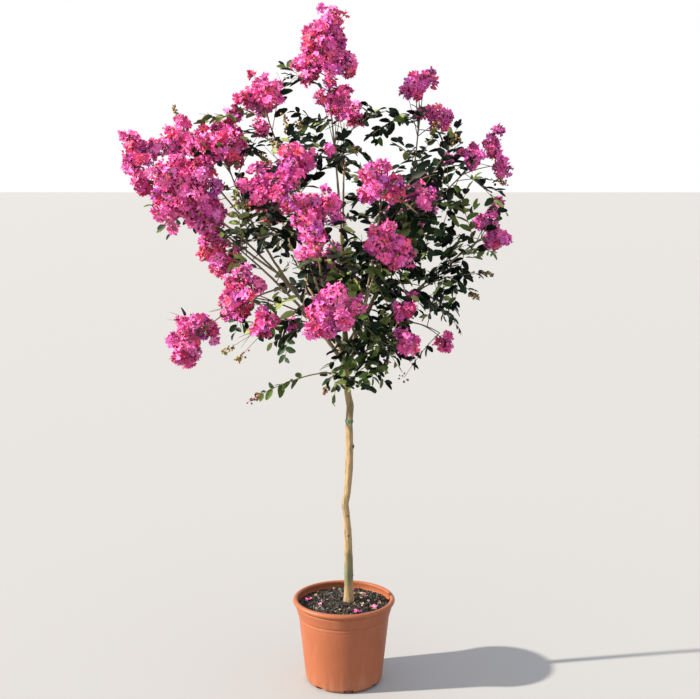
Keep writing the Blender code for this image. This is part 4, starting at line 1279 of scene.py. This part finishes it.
class Blossom:
    """Flowers and buds over a list of bunches, gathered in heaps of petals, stamens and green parts."""

    def __init__(self, bunches, look):
        self.bunches = bunches
        self.look = look
        self.centres = np.array([bunch.centre for bunch in bunches])
        self.sizes = np.array([bunch.size for bunch in bunches])
        self.petals, self.tufts, self.stalks = Heap(), Heap(), Heap()

    def clear(self, places, own, share):
        """Which places lie outside every other bunch, each drawn in to a share of its radius."""
        near = np.linalg.norm(places[:, None] - self.centres, axis=-1) / self.sizes
        near[:, own] = np.inf
        return near.min(axis=1) > share

    def grow(self):
        """Flowers over every bunch, each in a calyx, with buds between and beyond them."""
        total = 0
        for index, bunch in enumerate(self.bunches):
            rng = draws(FLOWER_DRAWS, index)
            size = self.sizes[index]
            room = 4 * math.pi * size ** 2 / self.look.spacing ** 2
            total += self.add_flowers(index, max(FLOWERS_LEAST, int(self.look.cover * room)), rng)
            ways = unit(rng.normal(size=(int(self.look.bud_share * room), 3)))
            places = bunch.centre + ways * (size * rng.uniform(*BUD_REACHES, len(ways)))[:, None]
            places = places[self.clear(places, index, BUD_CLEAR) & in_box(places)]
            self.add_buds(places, unit(places - bunch.centre), bunch.mass, rng)
        return total

    def add_flowers(self, index, count, rng):
        """Flowers that face out of a bunch, where no other bunch, the box or the crown's edge stops them."""
        bunch, size, length = self.bunches[index], self.sizes[index], self.look.petal_length
        ways = ball_ways(count, BUNCH_TURN * index, rng)
        reach = size * rng.normal(1.0, REACH_VARIES, count) - FLOWER_SINK * length
        wisp = rng.uniform(size=count) < WISP_SHARE
        reach = np.where(wisp, reach + length * rng.uniform(*WISP_REACHES, count), reach)
        places = bunch.centre + ways * reach[:, None]
        keep = self.clear(places, index, FLOWER_CLEAR) & in_box(places) & in_crown(places, FLOWER_LIMIT)
        buried = ((places - bunch.middle) * ways).sum(axis=1) < -BURIED_DEPTH * size
        keep &= ~(buried & (rng.uniform(size=count) < BURIED_SHARE))
        ways, places = ways[keep], places[keep]
        count = len(places)
        if count:
            face = unit(ways + rng.normal(0, FLOWER_TILT, (count, 3)) + FLOWER_RISE)
            petals = petal_points(places, face, length * rng.uniform(*FLOWER_SIZES, count), rng)
            tints = np.repeat(flower_tints(bunch, ways, rng), PETALS)
            self.petals.add_copies(petals, PETAL_PATCH, tints, bunch.mass)
            side, other = square_to(face)
            tufts = turned_copies(places, side, other, TUFT, CUP_SIDES, face)
            self.tufts.add_copies(tufts, CUP_PATCH, np.zeros(count), bunch.mass)
            cups = turned_copies(places, side, other, CALYX, CUP_SIDES, -face)
            self.stalks.add_copies(cups, CUP_PATCH, rng.integers(1, len(BUD_TINTS), count), bunch.mass)
        return count

    def add_buds(self, places, ways, mass, rng):
        """Round buds that point their own ways."""
        count = len(places)
        if count:
            size = rng.uniform(*BUD_SIZES, count)
            buds = turned_copies(places, *square_to(ways), BUD, BUD_SIDES, ways, size)
            self.stalks.add_copies(buds, BUD_PATCH, rng.choice(len(BUD_TINTS), size=count, p=BUD_ODDS), mass)

    def add_spikes(self, stems):
        """Buds and seed pods in a loose spike at the end of every long shoot without a flower."""
        for mass, path, _, bloom in whip_paths(stems):
            if not bloom:
                rng = draws(SPIKE_DRAWS, int(MILLI * path[-1, 2]))
                root = along(path, rng.uniform(*SPIKE_PART, SPIKE_BUDS))
                ways = unit(rng.normal(size=(SPIKE_BUDS, 3)) + SPIKE_LEAN * unit(path[-1] - path[-4]))
                places = root + ways * rng.uniform(*SPIKE_REACHES, SPIKE_BUDS)[:, None]
                self.add_buds(places, ways, mass, rng)


# Pot. Its foot, wall and neck are as in the solids, and its lip is a little rounder

POT_HEIGHT = 0.255
FOOT_RADIUS = 0.098
HEEL_RADIUS = 0.1138
HEEL_HEIGHT = 0.015
SHOULDER_RADIUS = 0.1328
SHOULDER_HEIGHT = 0.194
NECK_RADIUS = 0.1460
NECK_HEIGHT = 0.243
LIP_RADIUS = 0.0075
LIP_REACH = 0.1505
LIP_ANGLES = (150.0, -66.0)
LIP_DROP = 0.0030
FLARE_POWER = 1.15
WALL = 0.0035
FLOOR = 0.006
FLOOR_RADIUS = 0.05
FOOT_FLAT = 0.9
FLOOR_ROWS = 8
INSIDE_ROWS = 24
LIP_ROWS = 17
WALL_ROWS = 130
HEEL_ROWS = 9
HEEL_TURN = 80.0
POT_WELD = 1e-5

# Grooves round the pot: height, depth and half width
GROOVES = ((0.2375, 0.0026, 0.0026), (0.202, 0.0022, 0.0026), (0.190, 0.0005, 0.0014))
DRAIN_COUNT = 8
DRAIN_SIZE = (0.028, 0.028, 0.024)
DRAIN_TURN = math.radians(232.0)


def wall_radius(height):
    """The pot's outer radius: a straight taper up to the shoulder, then a flare as a power of the rise."""
    part = (height - HEEL_HEIGHT) / (SHOULDER_HEIGHT - HEEL_HEIGHT)
    low = HEEL_RADIUS + (SHOULDER_RADIUS - HEEL_RADIUS) * part
    rise = np.clip((height - SHOULDER_HEIGHT) / (NECK_HEIGHT - SHOULDER_HEIGHT), 0.0, 1.0)
    high = SHOULDER_RADIUS + (NECK_RADIUS - SHOULDER_RADIUS) * rise ** FLARE_POWER
    return np.where(height <= SHOULDER_HEIGHT, low, high)


def inside_radius(height, spare):
    """The radius inside the pot at a height, less what is spared."""
    return float(wall_radius(height)) - WALL - spare


def pot_section():
    """The pot's section from inside the floor, up, over the rolled lip, down the wall and under the foot."""
    start = np.array(((0.0, FLOOR), (FLOOR_RADIUS, FLOOR)))
    inside = np.linspace(FLOOR, NECK_HEIGHT, INSIDE_ROWS)
    inner = wall_radius(np.maximum(inside, HEEL_HEIGHT)) - WALL
    angle = np.radians(np.linspace(*LIP_ANGLES, LIP_ROWS))
    lip_radius = LIP_REACH - LIP_RADIUS + LIP_RADIUS * np.cos(angle)
    lip_height = POT_HEIGHT - LIP_RADIUS + LIP_RADIUS * np.sin(angle)
    outside = np.linspace(NECK_HEIGHT - LIP_DROP, HEEL_HEIGHT, WALL_ROWS)
    outer = wall_radius(outside)
    for height, depth, half in GROOVES:
        outer = outer - depth * np.exp(-((outside - height) / half) ** 2)
    heel = np.radians(np.linspace(HEEL_TURN, 0.0, HEEL_ROWS))
    foot_radius = FOOT_RADIUS + (HEEL_RADIUS - FOOT_RADIUS) * np.sin(heel)
    foot_height = HEEL_HEIGHT * (1 - np.cos(heel))
    flat = np.linspace(FOOT_RADIUS * FOOT_FLAT, 0.0, FLOOR_ROWS)
    lip, foot = (lip_radius, lip_height), (foot_radius, foot_height)
    parts = ((inner, inside), lip, (outer, outside), foot, (flat, 0.0 * flat))
    return np.concatenate([start] + [np.column_stack(part) for part in parts])


def cut_drains(pot):
    """Drain slots through the pot's rounded bottom edge."""
    for number in range(DRAIN_COUNT):
        angle = DRAIN_TURN + math.tau * number / DRAIN_COUNT
        bpy.ops.mesh.primitive_cube_add(size=1.0)
        cutter = bpy.context.active_object
        cutter.scale = DRAIN_SIZE
        cutter.rotation_euler = (0.0, 0.0, angle)
        cutter.location = (HEEL_RADIUS * math.cos(angle), HEEL_RADIUS * math.sin(angle), 0.0)
        modifier = pot.modifiers.new("drain", "BOOLEAN")
        modifier.operation = "DIFFERENCE"
        modifier.object = cutter
        depsgraph = bpy.context.evaluated_depsgraph_get()
        mesh = bpy.data.meshes.new_from_object(pot.evaluated_get(depsgraph))
        pot.modifiers.clear()
        pot.data = mesh
        bpy.data.objects.remove(cutter)


# Potting mix and what lies on it

MIX_EDGE_HEIGHT = 0.231
MIX_TOP = 0.242
MIX_LEVEL_RADIUS = 0.036
MIX_SPARE = 0.0006
MIX_SINK = 0.0012
MIX_RINGS = 70
MIX_SIDES = 180
MIX_SKIRT = 0.006
CLOD_HEIGHT = 0.0011
CRUMB_HEIGHT = 0.0006

# Bark chips: room left at the wall, nearest to the middle as a part of the area, and ranges of their form
CHIP_SPARE = 0.004
CHIP_LEAST = 0.012
CHIP_SIZES = (0.0020, 0.0070)
CHIP_FORM = (1.0, 0.8, 0.45)
CHIP_LIFT = 0.35
CHIP_VARIES = (0.5, 1.3)
CORNER_VARIES = (0.55, 1.1)
CHIP_LEVEL = 2.0
CHIP_CORNERS = np.array([(a, b, c) for c in (-1, 1) for a, b in ((-1, -1), (1, -1), (1, 1), (-1, 1))], float)
CHIP_PATCH = np.array(((0, 3, 2, 1), (4, 5, 6, 7), (0, 1, 5, 4), (1, 2, 6, 5), (2, 3, 7, 6), (3, 0, 4, 7)))
CHIP_TINTS = (
    (0.009, 0.007, 0.006),
    (0.028, 0.018, 0.012),
    (0.085, 0.092, 0.112),
    (0.260, 0.200, 0.120),
    (0.022, 0.014, 0.010),
)
CHIP_ODDS = (0.46, 0.24, 0.13, 0.03, 0.14)

# Dry leaves and fallen petals on the mix
FALLEN_SPARE = 0.022
FALLEN_LEAST = 0.12
DRY_LEAVES = 18
DRY_TURN = (0.6, 1.1)
DRY_LENGTHS = (0.014, 0.026)
DRY_WIDTHS = (0.007, 0.012)
DRY_LIFT = 0.0045
DRY_SLOPE = 0.10
DRY_TILT = 0.12
DRY_TINTS = ((0.62, 0.48, 0.27), (0.36, 0.22, 0.10), (0.20, 0.25, 0.06))
DRY_ODDS = (0.45, 0.35, 0.2)
FALLEN_FLOWERS = 9
FALLEN_PETALS = 5
FALLEN_LENGTHS = (0.008, 0.012)
FALLEN_LIFT = 0.004
FALLEN_TILT = 0.3
FALLEN_TINTS = PETAL_TINTS[:4]


def mix_height(x, y):
    """The mix's height: level under the trunk, falling to the wall, with clods as products of sines."""
    edge = inside_radius(MIX_EDGE_HEIGHT, MIX_SPARE)
    part = np.clip((np.hypot(x, y) - MIX_LEVEL_RADIUS) / (edge - MIX_LEVEL_RADIUS), 0.0, 1.0)
    base = MIX_TOP + (MIX_EDGE_HEIGHT - MIX_TOP) * part - MIX_SINK
    clods = np.sin(160 * x + 2.0 * np.sin(95 * y)) * np.sin(140 * y + 1.7 * np.sin(120 * x + 1))
    crumbs = np.sin(410 * x + 3.0 * np.sin(230 * y)) * np.sin(380 * y + 2.0 * np.sin(310 * x))
    return base + CLOD_HEIGHT * clods + CRUMB_HEIGHT * crumbs


def mix_surface():
    """The mix: rings over its top, and then its hidden sides and underside down the pot's inside."""
    edge = inside_radius(MIX_EDGE_HEIGHT, MIX_SPARE)
    radii = edge * np.linspace(0.0, 1.0, MIX_RINGS)
    top = turned_grid(np.column_stack((radii, 0.0 * radii)), MIX_SIDES)
    top[..., 2] = mix_height(top[..., 0], top[..., 1])
    low = FLOOR + GAP
    sides = turned_grid(np.array((
        (edge, MIX_EDGE_HEIGHT - MIX_SKIRT),
        (inside_radius(SHOULDER_HEIGHT, MIX_SPARE), SHOULDER_HEIGHT),
        (HEEL_RADIUS - WALL - MIX_SPARE, HEEL_HEIGHT),
        (0.5 * (HEEL_RADIUS + FOOT_RADIUS) - WALL - MIX_SPARE, low),
        (0.0, low),
    )), MIX_SIDES)
    return np.concatenate((top, sides))


def chips(count, rng):
    """Bark chips and crumbs, with a tint for each: boxes with their corners moved, strewn over the mix."""
    limit = inside_radius(MIX_EDGE_HEIGHT, CHIP_SPARE)
    radius = limit * np.sqrt(rng.uniform(CHIP_LEAST, 1.0, count))
    angle = rng.uniform(0, math.tau, count)
    size = rng.uniform(*CHIP_SIZES, count)[:, None] * rng.uniform(*CHIP_VARIES, (count, 3)) * CHIP_FORM
    inward = np.minimum(1.0, limit / (radius + size.max(axis=1)))
    x, y = radius * np.cos(angle) * inward, radius * np.sin(angle) * inward
    shape = CHIP_CORNERS[None] * rng.uniform(*CORNER_VARIES, (count, 8, 3)) * size[:, None]
    axis = unit(rng.normal(size=(count, 3)) + CHIP_LEVEL * UP)
    turn = rng.uniform(0, math.tau, count)
    shape = rotate(shape, axis[:, None], np.repeat(turn[:, None], 8, axis=1))
    centre = np.column_stack((x, y, mix_height(x, y) + CHIP_LIFT * size[:, 2]))
    return centre[:, None] + shape, rng.choice(len(CHIP_TINTS), size=count, p=CHIP_ODDS)


def fallen_reach(count, rng):
    """Distances from the mix's middle, spread evenly over its surface."""
    return inside_radius(MIX_EDGE_HEIGHT, FALLEN_SPARE) * np.sqrt(rng.uniform(FALLEN_LEAST, 1.0, count))


def on_mix(reach, turn, lift):
    """Places on the mix at distances from its middle and turns about it, lifted a little."""
    x, y = reach * np.cos(turn), reach * np.sin(turn)
    return np.column_stack((x, y, mix_height(x, y) + lift))


def dry_leaves(rng):
    """Leaves that lie on the mix, most of them to the right and back, with a tint for each."""
    count = DRY_LEAVES
    reach = fallen_reach(count, rng)
    roots = on_mix(reach, rng.normal(*DRY_TURN, count), DRY_LIFT)
    heading = rng.uniform(0, math.tau, count)
    way = unit(np.column_stack((np.cos(heading), np.sin(heading), rng.normal(0.0, DRY_SLOPE, count))))
    normal = unit(np.cross(way, np.cross(UP, way)) + rng.normal(0, DRY_TILT, (count, 3)))
    normal = unit(normal - way * (normal * way).sum(-1, keepdims=True))
    length, width = rng.uniform(*DRY_LENGTHS, count), rng.uniform(*DRY_WIDTHS, count)
    points = leaf_points(roots, way, normal, length, width, rng)
    return points, rng.choice(len(DRY_TINTS), size=count, p=DRY_ODDS)


def fallen_petals(rng):
    """Petals that lie on the mix in loose flowers, with a tint for each petal."""
    count = FALLEN_FLOWERS
    reach = fallen_reach(count, rng)
    places = on_mix(reach, rng.uniform(0, math.tau, count), FALLEN_LIFT)
    face = unit(rng.normal(0, FALLEN_TILT, (count, 3)) + UP)
    points = petal_points(places, face, rng.uniform(*FALLEN_LENGTHS, count), rng)[:, :FALLEN_PETALS]
    return points, np.repeat(rng.integers(0, len(FALLEN_TINTS), count), FALLEN_PETALS)


# Ties round the trunk: name, height, width, tilt and number of turns

TIES = (
    ("upper_tie", 0.787, 0.010, 0.0, 3),
    ("lower_tie", 0.325, 0.0042, math.radians(10.0), 2),
)
TIE_STEPS = 40
TIE_START = -1.2
TIE_SPARE = 0.0013
TIE_WAVE = 0.0003
TIE_WAVES = 9
TIE_THICKNESS = 4.5
TIE_SIDES = 8


def tie_line(height, width, tilt, turns, thick):
    """A tie's path: a coil round the trunk that climbs from its lower edge to its upper one."""
    centre, radius = trunk_place(height)
    t = np.linspace(0.0, 1.0, TIE_STEPS * turns)
    angle = math.tau * turns * t + TIE_START
    coil = float(radius) + TIE_SPARE + TIE_WAVE * np.sin(TIE_WAVES * angle)
    x = coil * np.cos(angle)
    z = (t - 0.5) * (width - 1.6 * thick) - x * math.tan(tilt)
    return centre + np.column_stack((x, coil * np.sin(angle), z))


# Sizes and colours that a user would change


def colour_setting(name, description, default):
    """A colour that shows in the panel."""
    return bpy.props.FloatVectorProperty(
        name=name, description=description, default=default, subtype="COLOR", size=3, min=0.0, max=1.0
    )


def length_setting(name, description, default):
    """A length that shows in the panel."""
    return bpy.props.FloatProperty(
        name=name, description=description, default=default, unit="LENGTH", min=0.0001
    )


def count_setting(name, description, default, least):
    """A whole number that shows in the panel."""
    return bpy.props.IntProperty(name=name, description=description, default=default, min=least)


def number_setting(name, description, default):
    """A plain number that shows in the panel."""
    return bpy.props.FloatProperty(name=name, description=description, default=default, min=0.0)


class MYRTLE_PG_pot(bpy.types.PropertyGroup):
    """Looks of the pot, the mix in it and the ties."""

    plastic: colour_setting("Plastic", "Colour of the moulded pot", (0.285, 0.086, 0.038))
    tie: colour_setting("Tie", "Colour of the tape and string round the trunk", (0.045, 0.22, 0.165))
    sides: count_setting("Sides", "Faces round the pot", 160, 24)
    chips: count_setting("Chips", "Bark chips and crumbs on the mix", 3200, 0)


class MYRTLE_PG_bark(bpy.types.PropertyGroup):
    """Looks of the bark."""

    tan: colour_setting("Tan", "Warm colour of the trunk's bark", (0.352, 0.240, 0.118))
    grey: colour_setting("Grey", "Grey-green colour of the trunk's patches", (0.150, 0.138, 0.066))
    rows: count_setting("Rows", "Rings up the trunk", 420, 40)
    sides: count_setting("Sides", "Faces round the trunk", 40, 8)


class MYRTLE_PG_leaves(bpy.types.PropertyGroup):
    """Sizes of the leaves and of the shoots that carry them."""

    leaf_length: length_setting("Leaf length", "Length of a middling leaf", 0.039)
    leaf_width: length_setting("Leaf width", "Width of a middling leaf", 0.021)
    leaf_step: length_setting("Leaf step", "Distance between pairs of leaves", 0.026)
    shoot_length: length_setting("Shoot length", "Length of a middling leafy shoot", 0.165)
    fork_step: length_setting("Fork step", "Distance between side twigs on a shoot", 0.055)
    spurs: number_setting("Spurs", "Short leafy twigs for each metre of bough", 20.0)


class MYRTLE_PG_blossom(bpy.types.PropertyGroup):
    """Sizes of the flowers."""

    petal_length: length_setting("Petal length", "Length of a petal with its claw", 0.0148)
    spacing: length_setting("Spacing", "Distance between flowers on a bunch", 0.0172)
    cover: number_setting("Cover", "Part of a bunch's surface with flowers", 1.0)
    bud_share: number_setting("Buds", "Buds for each flower", 0.85)


# Operators, one for each group of pieces


class MYRTLE_OT_limbs(bpy.types.Operator):
    """Cover the trunk and boughs with bark relief."""

    bl_idname = "crape_myrtle.limbs"
    bl_label = "Trunk and boughs"

    def execute(self, context):
        settings = context.scene.myrtle_bark
        bark = bark_finish("bark_trunk", tuple(settings.tan), tuple(settings.grey), TRUNK_MARKS)
        grid = trunk_surface(settings.rows, settings.sides)
        quads = grid_quads(len(grid), settings.sides, closed=True)
        weld(add_piece("trunk_bark", grid, quads, [bark], replaces=("trunk",)))
        boughs, _ = grow_limbs()
        heap = Heap()
        bough_tubes(boughs, heap)
        made = heap.pieces("bough_bark", [bark_finish("bark_boughs", BOUGH_TAN, BOUGH_GREY)], "bark")
        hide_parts(*("bough_" + name for name in boughs))
        return {"FINISHED"}


class MYRTLE_OT_leaves(bpy.types.Operator):
    """Grow twigs and leaves from the stems and boughs."""

    bl_idname = "crape_myrtle.leaves"
    bl_label = "Twigs and leaves"

    def execute(self, context):
        look = context.scene.myrtle_leaves
        boughs, stems = grow_limbs()
        heads = place_heads(stems)
        leaves, twigs = Heap(), Heap()
        for mass in MASSES:
            stem = stems[mass.name]
            twigs.add_tube(stem.points, (stem.radii[0], stem.radii[-1]), STEM_SIDES, mass)
        for head in heads:
            twigs.add_tube(head.path, HEAD_PATH_ENDS, HEAD_PATH_SIDES, head.mass)
        for bunch in head_bunches(heads, stems):
            if np.linalg.norm(bunch.centre - bunch.middle) > STALK_LEAST:
                line = np.linspace(bunch.middle, bunch.centre, 3)
                twigs.add_tube(line, STALK_ENDS, STALK_SIDES, bunch.mass)
        count = grow_sprays(boughs, stems, heads, leaves, twigs, look)
        count += grow_whips(stems, heads, leaves, twigs, look)
        if not count:
            raise RuntimeError("no leaf found room")
        greens = sheet_finishes("leaf_green", LEAF_TINTS, LEAF_SHEET, specular_ior_level=0.08)
        leaves.pieces("leaves", greens, "foliage", replace=True)
        twigs.pieces("twigs", sheet_finishes("twig_bark", TWIG_TINTS, TWIG_SHEET), "foliage")
        return {"FINISHED"}


class MYRTLE_OT_blossom(bpy.types.Operator):
    """Cover the flower heads with flowers and buds."""

    bl_idname = "crape_myrtle.blossom"
    bl_label = "Blossom"

    def execute(self, context):
        _, stems = grow_limbs()
        blossom = Blossom(head_bunches(place_heads(stems), stems), context.scene.myrtle_blossom)
        if not blossom.grow():
            raise RuntimeError("no flower found room")
        blossom.add_spikes(stems)
        pinks = sheet_finishes("petal_pink", PETAL_TINTS, PETAL_SHEET, specular_ior_level=0.15)
        blossom.petals.pieces("petals", pinks, "foliage")
        blossom.tufts.pieces("stamens", sheet_finishes("stamen", TUFT_TINTS, STAMEN_SHEET), "foliage")
        blossom.stalks.pieces("flower_stalks", sheet_finishes("bud", BUD_TINTS, BUD_SHEET), "foliage")
        return {"FINISHED"}


class MYRTLE_OT_pot(bpy.types.Operator):
    """Turn the pot with its rolled lip, grooves and drains."""

    bl_idname = "crape_myrtle.pot"
    bl_label = "Pot"

    def execute(self, context):
        settings = context.scene.myrtle_pot
        plastic = pot_finish("terracotta_plastic", tuple(settings.plastic))
        grid = turned_grid(pot_section(), settings.sides)
        quads = grid_quads(len(grid), settings.sides, closed=True)
        pot = add_piece("nursery_pot", grid, quads, [plastic], replaces=("pot",))
        weld(pot, POT_WELD)
        cut_drains(pot)
        return {"FINISHED"}


class MYRTLE_OT_mix(bpy.types.Operator):
    """Lay the potting mix with its chips, dry leaves and fallen petals."""

    bl_idname = "crape_myrtle.mix"
    bl_label = "Potting mix"

    def execute(self, context):
        rng = draws(number=MIX_DRAWS)
        grid = mix_surface()
        quads = grid_quads(len(grid), MIX_SIDES, closed=True)
        peat = [mix_finish("peat")]
        weld(add_piece("mix_surface", grid, quads, peat, replaces=("potting_mix",)))
        things = chips(context.scene.myrtle_pot.chips, rng)
        browns = sheet_finishes("chip", CHIP_TINTS, CHIP_SHEET)
        add_copies("mix_chips", things, CHIP_PATCH, browns, smooth=False)
        dry = sheet_finishes("dry_leaf", DRY_TINTS, DRY_SHEET)
        add_copies("dry_leaves", dry_leaves(rng), LEAF_PATCH, dry)
        pinks = sheet_finishes("fallen_pink", FALLEN_TINTS, PETAL_SHEET)
        add_copies("fallen_petals", fallen_petals(rng), PETAL_PATCH, pinks)
        return {"FINISHED"}


class MYRTLE_OT_ties(bpy.types.Operator):
    """Wind the tape and the string round the trunk."""

    bl_idname = "crape_myrtle.ties"
    bl_label = "Ties"

    def execute(self, context):
        tape = sheet_finishes("tie_tape", (tuple(context.scene.myrtle_pot.tie),), TIE_SHEET)
        for name, height, width, tilt, turns in TIES:
            thick = width / (TIE_THICKNESS * turns)
            line = tie_line(height, width, tilt, turns, thick)
            points, quads = closed_tube(line, np.full(len(line), thick), TIE_SIDES)
            weld(add_piece(name + "_wound", points, quads, tape, replaces=(name,)))
        return {"FINISHED"}


# Stage. Lights: name, kind, place, target, power, a sun's angle or an area's side, and colour

FLOOR_REACH = 40.0
FLOOR_TINT = (0.335, 0.34, 0.365)
SKY_TINT = (1.0, 1.0, 1.0, 1.0)
LIGHTS = (
    ("key", "SUN", (-3.3, -0.62, 2.9), (0.0, 0.0, 1.2), 9.0, math.radians(1.5), (1.0, 0.91, 0.74)),
    ("fill", "AREA", (3.0, -3.5, 2.2), (0.0, 0.0, 1.1), 4.0, 3.0, (0.80, 0.86, 1.0)),
)
CAMERA_PLACE = (0.018, -3.5, 1.57)
CAMERA_DIP = 9.3
CAMERA_LENS = 63.72
CAMERA_SENSOR = 36.0


def add_light(name, kind, place, target, power, size, colour):
    """A light at a place, turned to a target."""
    light = bpy.data.lights.new(name, kind)
    light.energy = power
    light.color = colour
    if kind == "SUN":
        light.angle = size
    else:
        light.size = size
    item = bpy.data.objects.new(name, light)
    item.location = place
    item.rotation_euler = (Vector(target) - Vector(place)).to_track_quat("-Z", "Y").to_euler()
    bpy.context.scene.collection.objects.link(item)


class MYRTLE_OT_stage(bpy.types.Operator):
    """Set the pale floor, the lights and the camera."""

    bl_idname = "crape_myrtle.stage"
    bl_label = "Stage"

    def execute(self, context):
        scene = context.scene
        floor = bpy.data.meshes.new("floor")
        corners = [(FLOOR_REACH * x, FLOOR_REACH * y, 0) for x, y in ((-1, -1), (1, -1), (1, 1), (-1, 1))]
        floor.from_pydata(corners, [], [(0, 1, 2, 3)])
        floor.materials.append(Finish("pale_floor", FLOOR_TINT, 0.9).material)
        item = bpy.data.objects.new("floor", floor)
        scene.collection.objects.link(item)
        world = bpy.data.worlds.new("studio")
        world.use_nodes = True
        background = world.node_tree.nodes["Background"]
        background.inputs["Color"].default_value = SKY_TINT
        background.inputs["Strength"].default_value = 1.0
        scene.world = world
        for light in LIGHTS:
            add_light(*light)
        camera = bpy.data.cameras.new("camera")
        camera.lens = CAMERA_LENS
        camera.sensor_width = CAMERA_SENSOR
        view = bpy.data.objects.new("camera", camera)
        view.location = CAMERA_PLACE
        view.rotation_euler = (math.radians(90.0 - CAMERA_DIP), 0.0, 0.0)
        scene.collection.objects.link(view)
        scene.camera = view
        scene.view_settings.view_transform = "Standard"
        return {"FINISHED"}


# Panel, and how the classes are registered


class MYRTLE_PT_panel(bpy.types.Panel):
    """The plant's sizes, colours and pieces."""

    bl_idname = "MYRTLE_PT_panel"
    bl_label = "Crape myrtle"
    bl_space_type = "VIEW_3D"
    bl_region_type = "UI"
    bl_category = "Crape myrtle"

    def draw(self, context):
        for name in GROUPS:
            group = getattr(context.scene, name)
            box = self.layout.box()
            for setting in group.__annotations__:
                box.prop(group, setting)
        for operator in OPERATORS:
            self.layout.operator(operator.bl_idname)


GROUPS = {
    "myrtle_pot": MYRTLE_PG_pot,
    "myrtle_bark": MYRTLE_PG_bark,
    "myrtle_leaves": MYRTLE_PG_leaves,
    "myrtle_blossom": MYRTLE_PG_blossom,
}
OPERATORS = (
    MYRTLE_OT_stage, MYRTLE_OT_pot, MYRTLE_OT_mix, MYRTLE_OT_limbs,
    MYRTLE_OT_ties, MYRTLE_OT_leaves, MYRTLE_OT_blossom,
)


def register():
    """Register the classes and the settings."""
    for kind in (*GROUPS.values(), *OPERATORS, MYRTLE_PT_panel):
        bpy.utils.register_class(kind)
    for name, kind in GROUPS.items():
        setattr(bpy.types.Scene, name, bpy.props.PointerProperty(type=kind))


def unregister():
    """Take the settings and the classes away."""
    for name in GROUPS:
        delattr(bpy.types.Scene, name)
    for kind in (MYRTLE_PT_panel, *reversed(OPERATORS), *reversed(list(GROUPS.values()))):
        bpy.utils.unregister_class(kind)


def main():
    """Make every piece in order."""
    register()
    bpy.ops.crape_myrtle.stage()
    bpy.ops.crape_myrtle.pot()
    bpy.ops.crape_myrtle.mix()
    bpy.ops.crape_myrtle.limbs()
    bpy.ops.crape_myrtle.ties()
    bpy.ops.crape_myrtle.leaves()
    bpy.ops.crape_myrtle.blossom()


if __name__ == "__main__":
    main()
